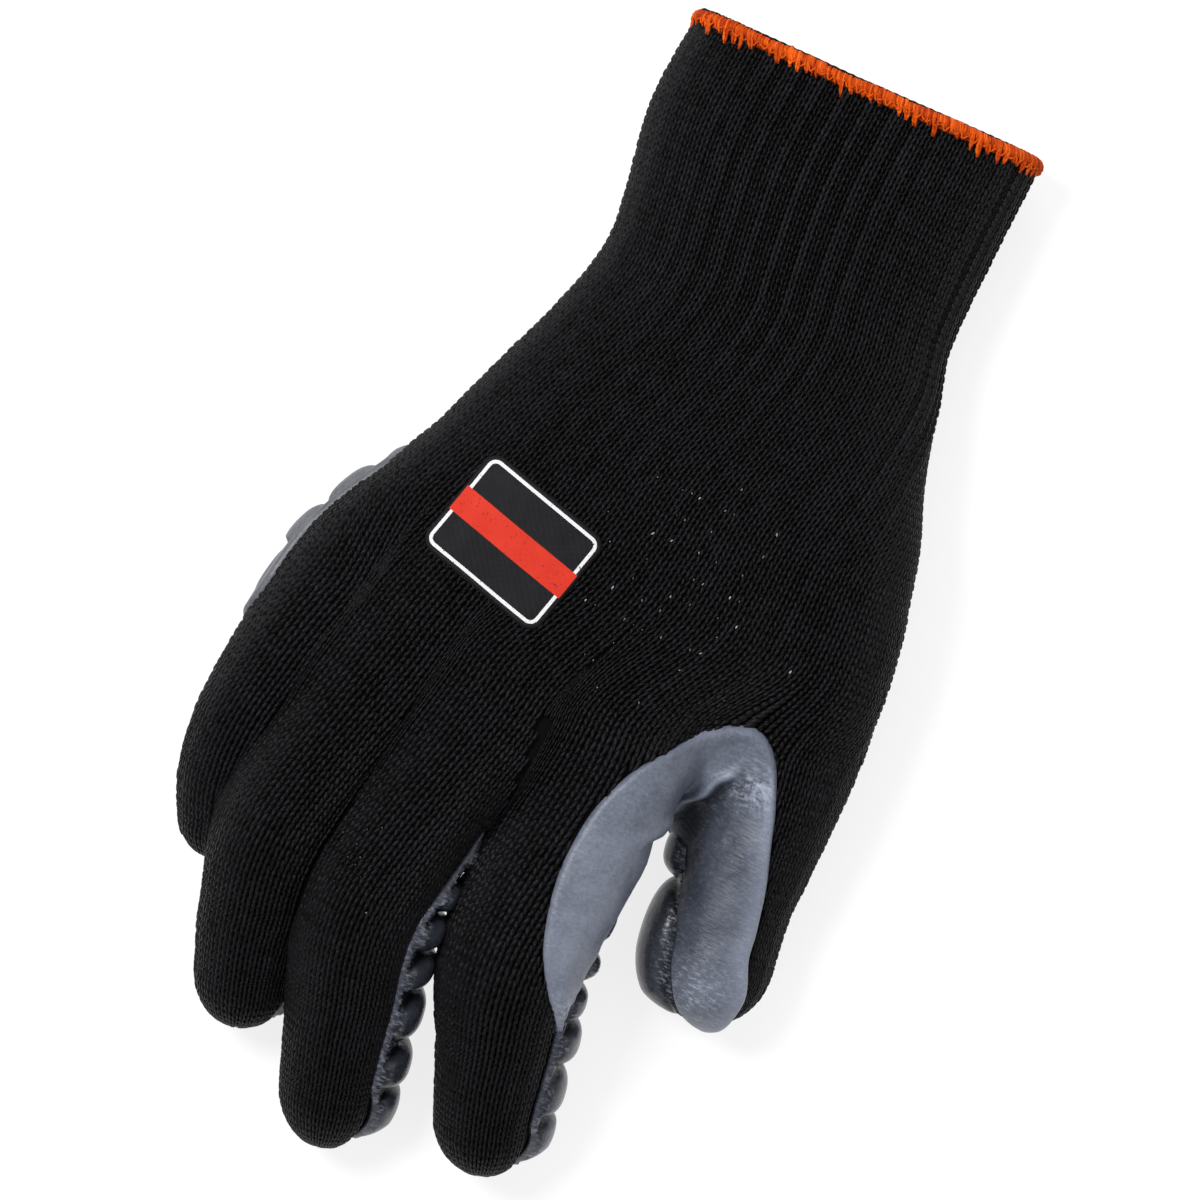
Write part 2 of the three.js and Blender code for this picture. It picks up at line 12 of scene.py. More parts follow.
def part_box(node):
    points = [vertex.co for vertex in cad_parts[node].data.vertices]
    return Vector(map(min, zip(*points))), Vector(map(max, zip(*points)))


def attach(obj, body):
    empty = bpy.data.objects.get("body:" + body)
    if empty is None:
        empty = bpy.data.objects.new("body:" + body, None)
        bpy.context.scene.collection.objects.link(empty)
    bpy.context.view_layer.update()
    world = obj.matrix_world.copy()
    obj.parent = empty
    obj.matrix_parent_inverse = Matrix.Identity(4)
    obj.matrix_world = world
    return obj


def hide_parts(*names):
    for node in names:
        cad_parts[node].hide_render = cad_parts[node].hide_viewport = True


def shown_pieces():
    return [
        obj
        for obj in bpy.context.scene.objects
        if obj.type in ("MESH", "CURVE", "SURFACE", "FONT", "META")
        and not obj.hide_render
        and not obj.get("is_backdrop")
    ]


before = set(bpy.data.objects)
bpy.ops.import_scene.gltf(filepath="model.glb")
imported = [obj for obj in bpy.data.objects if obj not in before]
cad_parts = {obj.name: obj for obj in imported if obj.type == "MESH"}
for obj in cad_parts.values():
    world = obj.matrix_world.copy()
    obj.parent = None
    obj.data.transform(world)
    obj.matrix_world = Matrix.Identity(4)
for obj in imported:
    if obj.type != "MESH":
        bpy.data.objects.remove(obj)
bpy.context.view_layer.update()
rng = np.random.default_rng(7)
KNIT_NODES = ["knit_palm", "knit_index", "knit_middle", "knit_ring", "knit_pinky", "knit_thumb"]

# table frame to row frame: the hem's end is y = 0 and its middle is x = -0.6
hem_lo, hem_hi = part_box("cuff_hem")
SHIFT = np.array([(hem_lo.x + hem_hi.x) * 500 + 0.6, hem_lo.y * 1000, 0.0])

# ------------------------------------------------------------------ tables, as in the frame
PALM = np.array([  # x, y, z, half width, half thickness, roundness
    [-0.6, 0, 15.4, 39.6, 15.4, 2.5], [0.3, 24, 15.2, 39.9, 15.5, 2.5], [-1.5, 45, 15.4, 38.3, 15.6, 2.5],
    [-3.4, 56, 16.6, 39.4, 15.6, 2.5], [-3.6, 72, 19.4, 43.6, 15.8, 2.4], [-2.4, 90, 22.0, 48.8, 16.0, 2.4],
    [4.1, 110, 24.6, 48.7, 15.8, 2.3], [10.7, 130, 27.4, 44.3, 14.8, 2.3], [18.1, 148, 29.8, 45.5, 13.6, 2.3],
    [21.4, 164, 30.6, 43.0, 11.4, 2.2], [20.0, 178, 29.6, 29.0, 7.0, 2.0]])
FINGERS = {  # x, y, z, half width, half thickness, roll; the last row is the fingertip
    "index": [[-8.0, 128, 25.5, 12.4, 11.6, 8], [-11.8, 156, 31.0, 15.4, 13.4, 18], [-10.3, 198, 30.0, 16.6, 13.0, 36],
              [-16.6, 221, 22.5, 13.3, 11.8, 41], [-21.0, 235.6, 16.6, 11.5, 10.4, 42], [-25.2, 247.0, 11.4, 0, 0, 42]],
    "middle": [[13.5, 125, 26.0, 12.4, 11.6, 6], [16.4, 154, 32.2, 14.4, 13.4, 14], [22.2, 200, 31.2, 14.4, 13.2, 34],
               [16.8, 225, 23.0, 12.9, 11.8, 40], [12.0, 243, 16.4, 11.3, 10.4, 41], [8.4, 256.6, 11.0, 0, 0, 41]],
    "ring": [[34.5, 122, 25.0, 12.0, 11.4, 6], [38.6, 149, 30.6, 13.6, 12.8, 12], [45.4, 193, 29.6, 13.4, 12.6, 28],
             [42.6, 215, 22.0, 12.3, 11.4, 34], [39.0, 229.5, 16.0, 10.9, 10.0, 36], [35.4, 240.8, 11.0, 0, 0, 36]],
    "pinky": [[45.0, 118, 24.4, 10.8, 10.6, 6], [55.6, 142, 27.8, 12.2, 11.6, 10], [60.7, 174, 26.0, 11.4, 11.0, 22],
              [60.4, 191, 20.6, 10.8, 10.0, 28], [57.4, 201, 15.8, 9.9, 9.2, 30], [55.0, 209.8, 10.8, 0, 0, 30]],
    "thumb": [[-24.0, 74, 19.0, 13.4, 14.0, -30], [-38.0, 98, 19.8, 15.4, 17.8, -44], [-45.6, 131, 18.2, 14.4, 15.5, -62],
              [-48.4, 160, 15.8, 12.8, 13.4, -70], [-49.6, 171, 14.8, 12.4, 12.2, -71], [-51.6, 183.5, 13.8, 12.2, 12.0, -72],
              [-55.6, 197.2, 12.6, 0, 0, -72]]}
FOLD = [[-28.0, 116, 23.0, 15.0, 12.5, -10], [-34.0, 133, 22.0, 14.0, 10.5, -14], [-35.4, 145, 20.6, 11.0, 8.4, -16],
        [-35.0, 155, 20.0, 0, 0, -16]]
PODS = {  # first millimetre of travel, pods, length of the last, half angle, height
    "index": (52, 6, 13, 84, 4.3), "middle": (52, 7, 13, 84, 4.5), "ring": (50, 6, 12, 84, 4.2),
    "pinky": (42, 4, 11, 82, 3.9), "thumb": (72, 3, 25, 59, 4.4)}
ORDER = ["index", "middle", "ring", "pinky"]


def unit(v):
    return v / np.maximum(np.linalg.norm(v, axis=-1, keepdims=True), 1e-12)


def spline(col, t):
    n = len(col) - 1
    i = np.clip(np.floor(t).astype(int), 0, n - 1)
    f = t - i
    p0, p1, p2, p3 = (col[np.clip(i + k, 0, n)] for k in (-1, 0, 1, 2))
    return 0.5 * (2 * p1 + (p2 - p0) * f + (2 * p0 - 5 * p1 + 4 * p2 - p3) * f**2 + (3 * p1 - p0 - 3 * p2 + p3) * f**3)


class Chain:
    """A finger: sections along a bent line, closed by a round tip."""

    def __init__(self, rows):
        rows = np.array(rows, float)
        body, tip = rows[:-1], rows[-1]
        length = np.linalg.norm(np.diff(body[:, :3], axis=0), axis=1)
        at = np.concatenate([[0], np.cumsum(length)])
        self.T = at[-1]
        self.L = float(np.linalg.norm(tip[:3] - body[-1, :3]))
        self.t = np.linspace(0, self.T, int(self.T / 1.5) + 1)
        u = np.interp(self.t, at, np.arange(len(body)))
        self.c = np.stack([spline(body[:, k], u) for k in range(3)], 1)
        self.a, self.b, roll = (spline(body[:, k], u) for k in (3, 4, 5))
        end = self.c[-1] + (tip[:3] - body[-1, :3]) * np.linspace(0, 0.6, 7)[1:, None]
        along = np.gradient(np.vstack([self.c, end]), axis=0)
        along = unit(along)
        for _ in range(3):
            along[1:-1] = unit(along[:-2] + along[1:-1] * 2 + along[2:])
        self.along = along[: len(self.t)]
        r = np.radians(roll)
        up = np.stack([np.sin(r), np.zeros_like(r), np.cos(r)], 1)
        self.back = unit(up - self.along * (up * self.along).sum(1, keepdims=True))
        self.side = np.cross(self.along, self.back)
        self.lo = self.c.min(0) - 42
        self.hi = self.c.max(0) + 42

    def at_y(self, y):
        return np.interp(y, self.c[:, 1], self.t)

    def frame(self, t):
        t = np.clip(t, 0, self.T)
        mix = lambda m: np.stack([np.interp(t, self.t, m[:, k]) for k in range(3)], -1)
        return mix(self.c), unit(mix(self.side)), unit(mix(self.back)), unit(mix(self.along)), np.interp(t, self.t, self.a), np.interp(t, self.t, self.b)

    def surface(self, t, th, off=0.0):
        """Point and outward normal at travel t (past T it runs over the round tip), angle th in radians."""
        t, th, off = np.broadcast_arrays(np.asarray(t, float), np.asarray(th, float), np.asarray(off, float))
        c, s, k, al, a, b = self.frame(t)
        phi = np.clip((t - self.T) / self.L, 0, 1) * np.pi / 2
        ca, sa, cp, sp = np.cos(th), np.sin(th), np.cos(phi), np.sin(phi)
        n = unit(s * (cp * ca / a)[..., None] + k * (cp * sa / b)[..., None] + al * (sp / self.L)[..., None])
        p = c + s * (a * cp * ca)[..., None] + k * (b * cp * sa)[..., None] + al * (self.L * sp)[..., None]
        return p + n * off[..., None], n

    def dist(self, P):
        out = np.full(len(P), 60.0)
        near = np.all((P > self.lo) & (P < self.hi), axis=1)
        if not near.any():
            return out
        Q = P[near]
        idx = np.empty(len(Q), int)
        cc = (self.c**2).sum(1)
        for s in range(0, len(Q), 60000):
            q = Q[s : s + 60000]
            idx[s : s + 60000] = np.argmin(cc - 2 * q @ self.c.T, axis=1)
        d = Q - self.c[idx]
        w = (d * self.along[idx]).sum(1)
        u = (d * self.side[idx]).sum(1)
        v = (d * self.back[idx]).sum(1)
        t = np.clip(self.t[idx] + w, 0, self.T)
        a, b = np.interp(t, self.t, self.a), np.interp(t, self.t, self.b)
        ww = np.where((idx == len(self.t) - 1) & (w > 0), w / self.L, 0)
        ww = np.where((idx == 0) & (w < 0), w / b, ww)
        lw = np.where((idx == 0) & (w < 0), b, self.L)
        r = np.sqrt((u / a) ** 2 + (v / b) ** 2 + ww**2) + 1e-9
        g = np.sqrt((u / a**2) ** 2 + (v / b**2) ** 2 + (ww / lw) ** 2) / r + 1e-9
        out[near] = (r - 1) / g
        return out


_y = np.arange(-20, 190.0, 1.0)
_u = np.interp(_y, PALM[:, 1], np.arange(len(PALM)))
_palm = {k: spline(PALM[:, i], _u) for k, i in (("x", 0), ("z", 2), ("a", 3), ("b", 4), ("e", 5))}


def palm_at(y):
    return [np.interp(y, _y, _palm[k]) for k in ("x", "z", "a", "b", "e")]


def palm_dist(P):
    cx, cz, a, b, e = palm_at(np.clip(P[:, 1], 0, 178))
    u, v = np.abs(P[:, 0] - cx) + 1e-6, np.abs(P[:, 2] - cz) + 1e-6
    r = ((u / a) ** e + (v / b) ** e) ** (1 / e)
    g = r ** (1 - e) * np.sqrt(((u / a) ** (e - 1) / a) ** 2 + ((v / b) ** (e - 1) / b) ** 2) + 1e-9
    d = (r - 1) / g
    over = np.maximum(P[:, 1] - 172, 0)
    return np.where(over > 0, np.sqrt(np.maximum(d + 6, 0) ** 2 + over**2) - 6, d)


CH = {n: Chain(r) for n, r in FINGERS.items()}
FOLD_CH = Chain(FOLD)


def smin(a, b, k):
    h = np.maximum(k - np.abs(a - b), 0) / k
    return np.minimum(a, b) - h * h * k * 0.25


CROTCH = ((np.array([-29.2, 152.8, 12.5]), 7.4), (np.array([-35.0, 157.0, 12.5]), 7.2))   # the web low between thumb and palm


def field(P):
    """Distance outside the knitted cloth, in millimetres."""
    shape = P.shape[:-1]
    P = P.reshape(-1, 3)
    f = smin(palm_dist(P), FOLD_CH.dist(P), 7)
    for mid_, r_ in CROTCH:
        f = smin(f, np.linalg.norm(P - mid_, axis=1) - r_, 4)
    f = smin(f, CH["thumb"].dist(P), 7)
    g = CH["index"].dist(P)
    for n in ORDER[1:]:
        g = smin(g, CH[n].dist(P), 2.5)
    return smin(f, g, 5).reshape(shape)


def gradient(P, eps=0.3):
    g = np.empty(P.shape)
    for k in range(3):
        d = np.zeros(3)
        d[k] = eps
        g[..., k] = (field(P + d) - field(P - d)) / (2 * eps)
    return g


def project(P, level=0.0, steps=3, cap=4.0):
    P = np.array(P, float)
    for _ in range(steps):
        f = field(P) - level
        g = gradient(P)
        s = np.clip(f / np.maximum((g * g).sum(-1), 0.05), -cap, cap)
        P = P - g * s[..., None]
    return P


def trace(start, direction, level=0.0, steps=26, far=120.0):
    """First place on the cloth along a ray."""
    P = np.array(start, float)
    d = unit(np.broadcast_to(np.asarray(direction, float), P.shape))
    gone = np.zeros(P.shape[:-1])
    for _ in range(steps):
        f = field(P + d * gone[..., None]) - level
        gone = np.minimum(gone + f * 0.85, far)
    return P + d * gone[..., None]


# ------------------------------------------------------------------ meshes
def to_row(P):
    return (np.asarray(P, float).reshape(-1, 3) + SHIFT) / 1000.0


def make(name, verts, faces, smooth=True, material=None, attrs=None, replaces=()):
    """verts in table millimetres; faces is a list of index arrays (n x 3 or n x 4) or lists."""
    me = bpy.data.meshes.new(name)
    co = to_row(verts)
    arrays = [np.asarray(f, np.int32) for f in faces if len(f)]
    starts, total, loops = [], 0, []
    for f in arrays:
        if f.ndim == 1:
            starts.append(np.array([total]))
            loops.append(f)
            total += len(f)
        else:
            starts.append(total + np.arange(len(f)) * f.shape[1])
            loops.append(f.ravel())
            total += f.size
    loops, starts = np.concatenate(loops), np.concatenate(starts)
    me.vertices.add(len(co))
    me.vertices.foreach_set("co", co.astype(np.float32).ravel())
    me.loops.add(len(loops))
    me.loops.foreach_set("vertex_index", loops.astype(np.int32))
    me.polygons.add(len(starts))
    me.polygons.foreach_set("loop_start", starts.astype(np.int32))
    me.update(calc_edges=True)
    if smooth:
        me.polygons.foreach_set("use_smooth", np.ones(len(starts), bool))
    for key, value in (attrs or {}).items():
        value = np.asarray(value, np.float32)
        kind = "FLOAT" if value.ndim == 1 else "FLOAT_VECTOR"
        at = me.attributes.new(key, kind, "POINT")
        at.data.foreach_set("value" if kind == "FLOAT" else "vector", value.ravel())
    me.validate()
    ob = bpy.data.objects.new(name, me)
    bpy.context.scene.collection.objects.link(ob)
    if material:
        me.materials.append(material)
    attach(ob, "root")
    if replaces:
        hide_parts(*replaces)
    return ob


def grid_faces(n, m, start=0, wrap=False):
    """Quads of an n x m grid of vertices, row by row."""
    i = np.arange(n - 1)[:, None]
    j = np.arange(m if wrap else m - 1)[None, :]
    a = start + i * m + j
    b = start + i * m + (j + 1) % m
    return np.stack([a, b, b + m, a + m], -1).reshape(-1, 4)


def pad_mesh(outer, inner_stride, inner):
    """Closed pad: outer grid n x m, inner grid n x k (its first and last columns meet the outer edges)."""
    n, m = outer.shape[:2]
    k = inner.shape[1]
    verts = np.vstack([outer.reshape(-1, 3), inner.reshape(-1, 3)])
    base = n * m
    top = grid_faces(n, m)
    low = grid_faces(n, k, base)[:, ::-1]
    r = np.arange(n - 1)
    left = np.stack([r * m, (r + 1) * m, base + (r + 1) * k, base + r * k], -1)
    right = np.stack([r * m + m - 1, base + r * k + k - 1, base + (r + 1) * k + k - 1, (r + 1) * m + m - 1], -1)
    first = np.concatenate([np.arange(m)[::-1], base + np.arange(k)])
    last = np.concatenate([(n - 1) * m + np.arange(m), base + (n - 1) * k + np.arange(k)[::-1]])
    return verts, [top, low, left, right, first, last]


# ------------------------------------------------------------------ materials
class Mat:
    def __init__(self, name):
        self.m = bpy.data.materials.new(name)
        self.m.use_nodes = True
        self.t = self.m.node_tree
        self.p = self.t.nodes["Principled BSDF"]

    def node(self, kind, **kw):
        n = self.t.nodes.new(kind)
        for k, v in kw.items():
            if isinstance(v, (list, tuple)) and k in n.inputs:
                n.inputs[k].default_value = v
            elif k in n.inputs:
                n.inputs[k].default_value = v
            else:
                setattr(n, k, v)
        return n

    def link(self, a, out, b, inp):
        self.t.links.new(a.outputs[out], b.inputs[inp])

    def coords(self, scale=(1, 1, 1)):
        c = self.node("ShaderNodeTexCoord")
        mp = self.node("ShaderNodeMapping")
        mp.inputs["Scale"].default_value = scale
        self.link(c, "Object", mp, "Vector")
        return mp

    def noise(self, scale, detail=3.0, rough=0.55, coords=None):
        n = self.node("ShaderNodeTexNoise")
        n.inputs["Scale"].default_value = scale
        n.inputs["Detail"].default_value = detail
        n.inputs["Roughness"].default_value = rough
        self.link(coords or self.coords(), "Vector", n, "Vector")
        return n

    def ramp(self, src, out, stops):
        r = self.node("ShaderNodeValToRGB")
        e = r.color_ramp.elements
        while len(e) < len(stops):
            e.new(0.5)
        for el, (pos, col) in zip(e, stops):
            el.position = pos
            el.color = (*col, 1) if len(col) == 3 else col
        self.link(src, out, r, "Fac")
        return r

    def maprange(self, src, out, a, b, c, d):
        n = self.node("ShaderNodeMapRange")
        for k, v in zip(("From Min", "From Max", "To Min", "To Max"), (a, b, c, d)):
            n.inputs[k].default_value = v
        self.link(src, out, n, "Value")
        return n

    def math(self, op, a, b=None, value=None):
        n = self.node("ShaderNodeMath", operation=op)
        self.t.links.new(a, n.inputs[0])
        if b is not None:
            self.t.links.new(b, n.inputs[1])
        if value is not None:
            n.inputs[1].default_value = value
        return n.outputs[0]

    def bump(self, src, strength, distance, prev=None):
        n = self.node("ShaderNodeBump")
        n.inputs["Strength"].default_value = strength
        n.inputs["Distance"].default_value = distance
        self.t.links.new(src, n.inputs["Height"])
        if prev is not None:
            self.t.links.new(prev.outputs["Normal"], n.inputs["Normal"])
        return n

    def mix(self, fac, a, b, blend="MIX"):
        n = self.node("ShaderNodeMix", data_type="RGBA", blend_type=blend)
        if hasattr(fac, "node"):
            self.t.links.new(fac, n.inputs[0])
        else:
            n.inputs[0].default_value = fac
        for s, k in ((a, 6), (b, 7)):
            if hasattr(s, "node"):
                self.t.links.new(s, n.inputs[k])
            else:
                n.inputs[k].default_value = (*s, 1)
        return n.outputs[2]


def yarn_material(name, dark, light, sheen=0.25, rough=0.8, ply=True, spec=0.13):
    """Spun yarn: colour from noise and the 'tint' attribute (each stitch's own tone, with painted light and shade added
    on the cuff's ribs and on the hem's thread bed), ply twist and fuzz in the bump.
    """
    k = Mat(name)
    at = k.node("ShaderNodeAttribute", attribute_name="tint")
    n1 = k.noise(420, 3.0, 0.6)
    n2 = k.noise(38, 2.0, 0.5)
    v = k.math("MULTIPLY", n1.outputs["Fac"], value=0.55)
    v2 = k.math("MULTIPLY", n2.outputs["Fac"], value=0.35)
    s = k.math("ADD", v, v2)
    s = k.math("ADD", s, at.outputs["Fac"])
    r = k.node("ShaderNodeValToRGB")
    r.color_ramp.elements[0].position, r.color_ramp.elements[0].color = 0.25, (*dark, 1)
    r.color_ramp.elements[1].position, r.color_ramp.elements[1].color = 0.95, (*light, 1)
    k.t.links.new(s, r.inputs["Fac"])
    k.link(r, "Color", k.p, "Base Color")
    k.p.inputs["Roughness"].default_value = rough
    k.p.inputs["Sheen Weight"].default_value = sheen
    k.p.inputs["Sheen Roughness"].default_value = 0.45
    k.p.inputs["Specular IOR Level"].default_value = spec
    fuzz = k.noise(2600, 3.0, 0.7)
    b = k.bump(fuzz.outputs["Fac"], 0.5, 0.00012)
    if ply:
        lay = k.node("ShaderNodeAttribute", attribute_name="lay")
        tw = k.math("SINE", k.math("MULTIPLY", lay.outputs["Fac"], value=2 * math.pi))
        b = k.bump(tw, 0.45, 0.00010, b)
    k.link(b, "Normal", k.p, "Normal")
    return k.m


def rubber_material(name, dark, light, rough, grain=1.0, speckle=0.4, wrinkle=0.0):
    """Moulded rubber: mottled colour, soft pebble and short wrinkles; painted shade where the attribute 'low' says,
    painted highlight where 'rim' says, and painted glints in small spots where a third attribute says.
    """
    k = Mat(name)
    n1 = k.noise(95, 5.0, 0.62)
    n2 = k.noise(24, 3.0, 0.5)
    n3 = k.noise(900, 3.0, 0.6)
    n4 = k.noise(1300, 2.0, 0.65)
    s = k.math("ADD", k.math("MULTIPLY", n1.outputs["Fac"], value=0.45), k.math("MULTIPLY", n2.outputs["Fac"], value=0.25))
    s = k.math("ADD", s, k.math("MULTIPLY", n4.outputs["Fac"], value=0.30))
    r = k.node("ShaderNodeValToRGB")
    r.color_ramp.elements[0].position, r.color_ramp.elements[0].color = 0.34, (*dark, 1)
    r.color_ramp.elements[1].position, r.color_ramp.elements[1].color = 0.68, (*light, 1)
    k.t.links.new(s, r.inputs["Fac"])
    # painted shade: where 'low' is high the colour is pulled towards a much darker tone
    low = k.node("ShaderNodeAttribute", attribute_name="low")
    col = k.mix(low.outputs["Fac"], r.outputs["Color"], tuple(0.22 * x for x in dark))
    # painted highlight: where 'rim' is high the colour is pulled towards a lighter tone
    rim = k.node("ShaderNodeAttribute", attribute_name="rim")
    col = k.mix(rim.outputs["Fac"], col, tuple(1.5 * x for x in light))
    # painted glints: small pale spots from a fine noise, masked by a per-vertex attribute
    fl = k.node("ShaderNodeAttribute", attribute_name="painted_glint")
    glint_spots = k.maprange(k.noise(1.0, 4.0, 0.7, k.coords((620, 1500, 1000))), "Fac", 0.50, 0.74, 0.0, 1.0)
    glint_spots = k.math("MULTIPLY", glint_spots.outputs["Result"], fl.outputs["Fac"])
    col = k.mix(glint_spots, col, (0.40, 0.43, 0.52))
    k.t.links.new(col, k.p.inputs["Base Color"])
    # specular is lowered along with the painted shade
    shine = k.maprange(low, "Fac", 0.0, 1.0, 0.55, 0.16)
    k.link(shine, "Result", k.p, "Specular IOR Level")
    rr = k.maprange(n1, "Fac", 0.3, 0.7, rough - 0.06, rough + 0.09)
    k.link(rr, "Result", k.p, "Roughness")
    cr = k.noise(260, 4.0, 0.6)
    fine = k.noise(2900, 2.0, 0.6)
    b = k.bump(fine.outputs["Fac"], speckle, 0.00007)
    if wrinkle:
        lines = k.noise(1.0, 4.0, 0.6, k.coords((300, 1700, 700)))
        b = k.bump(lines.outputs["Fac"], wrinkle, 0.00022, b)
    b = k.bump(n3.outputs["Fac"], 0.30 * grain, 0.00014, b)
    b = k.bump(cr.outputs["Fac"], 0.45 * grain, 0.0004, b)
    b = k.bump(n2.outputs["Fac"], 0.30 * grain, 0.0012, b)
    k.link(b, "Normal", k.p, "Normal")
    return k.m


M_YARN = yarn_material("black_yarn", (0.0008, 0.0008, 0.0011), (0.0100, 0.0097, 0.0128), sheen=0.012, rough=0.48)
M_BASE = yarn_material("black_yarn_inside", (0.0008, 0.0008, 0.0010), (0.0018, 0.0018, 0.0022), sheen=0.02, rough=0.95, ply=False)
M_HEM = yarn_material("overlock_thread", (0.36, 0.030, 0.001), (0.88, 0.135, 0.006), sheen=0.0, rough=0.62, spec=0.10)
M_POD = rubber_material("pod_rubber", (0.014, 0.016, 0.023), (0.066, 0.073, 0.098), 0.22, 1.2, 0.6)
M_PALM = rubber_material("palm_rubber", (0.060, 0.063, 0.074), (0.165, 0.172, 0.195), 0.42, 1.0, 0.6, 0.4)
M_WEB = rubber_material("web_rubber", (0.064, 0.077, 0.110), (0.205, 0.228, 0.292), 0.40, 0.8, 0.6, 0.75)

# ------------------------------------------------------------------ knitted shell under the stitches
STARTY = 2.6


def surface_net(lo, hi, cell, level):
    n = np.ceil((hi - lo) / cell).astype(int)
    ax = [lo[k] + cell * np.arange(n[k] + 1) for k in range(3)]
    G = np.stack(np.meshgrid(*ax, indexing="ij"), -1)
    F = np.empty(G.shape[:3])
    for i in range(len(ax[0])):
        F[i] = field(G[i]) - level
    nx, ny, nz = n
    cor = lambda a, dx, dy, dz: a[dx : nx + dx, dy : ny + dy, dz : nz + dz]
    ins = F < 0
    count = sum(cor(ins, a, b, c).astype(int) for a in (0, 1) for b in (0, 1) for c in (0, 1))
    active = (count > 0) & (count < 8)
    acc = np.zeros((nx, ny, nz, 3))
    num = np.zeros((nx, ny, nz))
    for axis in range(3):
        others = [k for k in range(3) if k != axis]
        for p in (0, 1):
            for q in (0, 1):
                o0 = [0, 0, 0]
                o0[others[0]], o0[others[1]] = p, q
                o1 = list(o0)
                o1[axis] = 1
                f0, f1 = cor(F, *o0), cor(F, *o1)
                hit = (f0 < 0) != (f1 < 0)
                t = np.where(hit, f0 / np.where(hit, f0 - f1, 1), 0)
                p0, p1 = cor(G, *o0), cor(G, *o1)
                acc += np.where(hit[..., None], p0 + (p1 - p0) * t[..., None], 0)
                num += hit
    verts = (acc / np.maximum(num, 1)[..., None])[active]
    idx = -np.ones((nx, ny, nz), int)
    idx[active] = np.arange(active.sum())
    jlayer = np.nonzero(active)[1]
    faces = []
    for axis in range(3):
        o1, o2 = (axis + 1) % 3, (axis + 2) % 3
        sl0 = [slice(None)] * 3
        sl1 = [slice(None)] * 3
        sl0[axis], sl1[axis] = slice(0, n[axis]), slice(1, n[axis] + 1)
        a, b = ins[tuple(sl0)], ins[tuple(sl1)]
        change = a != b
        I = np.stack(np.nonzero(change), -1)
        I = I[(I[:, o1] > 0) & (I[:, o2] > 0) & (I[:, o1] < n[o1]) & (I[:, o2] < n[o2])]
        inside_first = a[tuple(I.T)]
        quad = []
        for d1, d2 in ((-1, -1), (0, -1), (0, 0), (-1, 0)):
            J = I.copy()
            J[:, o1] += d1
            J[:, o2] += d2
            quad.append(idx[tuple(J.T)])
        Q = np.stack(quad, -1)
        Q = np.where(inside_first[:, None], Q, Q[:, ::-1])
        faces.append(Q[(Q >= 0).all(1)])
    return verts, np.vstack(faces), jlayer


net_v, net_f, layer = surface_net(np.array([-72.0, STARTY, -4.0]), np.array([80.0, 262.0, 50.0]), 2.6, -0.95)
rim = layer == 0
for _ in range(2):
    net_v = project(net_v, -0.95, 1)
    net_v[rim, 1] = STARTY
for ch_ in CH.values():
    pole, pole_n = ch_.surface(ch_.T + ch_.L, 0.0)
    near_pole = np.clip(1 - (np.linalg.norm(net_v - pole, axis=1) / 6.5) ** 2, 0, 1)
    net_v = net_v + pole_n * (0.80 * near_pole)[:, None]
net_v[:, 2] = np.maximum(net_v[:, 2], 0.12)
used = np.unique(net_f)
remap = -np.ones(len(net_v), int)
remap[used] = np.arange(len(used))
base = make("knit_base", net_v[used], [remap[net_f]], material=M_BASE, replaces=KNIT_NODES,
            attrs={"tint": np.full(len(used), 0.1), "lay": np.zeros(len(used))})
sol = base.modifiers.new("wall", "SOLIDIFY")
sol.thickness, sol.offset = 0.0011, -1.0

# ------------------------------------------------------------------ where rubber lies, to leave stitches out under it
WEB_OUT = [(-26.6, 211.2), (-21.4, 204.2), (-16.8, 197.0), (-14.2, 190.0), (-12.5, 182.0), (-12.1, 174.8), (-13.2, 164.2), (-17.4, 153.6),
           (-23.6, 145.2), (-28.2, 139.2), (-36.6, 135.1), (-43.0, 138.6), (-47.8, 147.9), (-50.5, 155.6), (-54.0, 165.9), (-55.9, 174.3), (-57.0, 180.5)]
WEB_EDGE = np.array(WEB_OUT)


def inside_poly(xy, poly):
    x, y = xy[..., 0], xy[..., 1]
    inside = np.zeros(x.shape, bool)
    j = len(poly) - 1
    for i in range(len(poly)):
        xi, yi, xj, yj = *poly[i], *poly[j]
        cross = (yi > y) != (yj > y)
        with np.errstate(divide="ignore", invalid="ignore"):
            inside ^= cross & (x < (xj - xi) * (y - yi) / (yj - yi + 1e-12) + xi)
        j = i
    return inside


WEB_POLY = np.vstack([WEB_EDGE[1:], [[-58.2, 190], [-55, 200], [-45, 201], [-38, 190], [-33, 170], [-33, 200], [-33, 209]]])

# ------------------------------------------------------------------ stitches
ROWS_Y = np.concatenate([np.arange(STARTY, 118, 1.78), [118.0]])
if ROWS_Y[-1] - ROWS_Y[-2] < 0.6:
    ROWS_Y = np.delete(ROWS_Y, -2)
GROUPS = [("pinky", 12, 4, 148), ("ring", 11, 32, 148), ("middle", 12, 32, 148), ("index", 12, 32, 150), ("web", 8, 0, 0), ("thumb", 12, 20, 110)]
GUSSET = 14   # columns on the thumb side that widen from nothing between wrist and thumb
NCOL = sum(g[1] for g in GROUPS)
NPALM = 64

K = 240
ang = np.linspace(0, 2 * np.pi, K, endpoint=False)
coarse = np.linspace(0, len(ROWS_Y) - 1, 40)
ys = np.interp(coarse, np.arange(len(ROWS_Y)), ROWS_Y)
cx, cz, pa, pb, pe = palm_at(ys)
dirs = np.stack([np.cos(ang), np.zeros(K), np.sin(ang)], -1)
start = np.stack([cx, ys, cz], -1)[:, None, :] + dirs[None] * 78
ringpts = trace(start, -dirs[None], 0.0, 30, 74)
ring = np.stack([np.stack([np.interp(np.arange(len(ROWS_Y)), coarse, ringpts[:, k, c]) for c in range(3)], -1) for k in range(K)], 1)


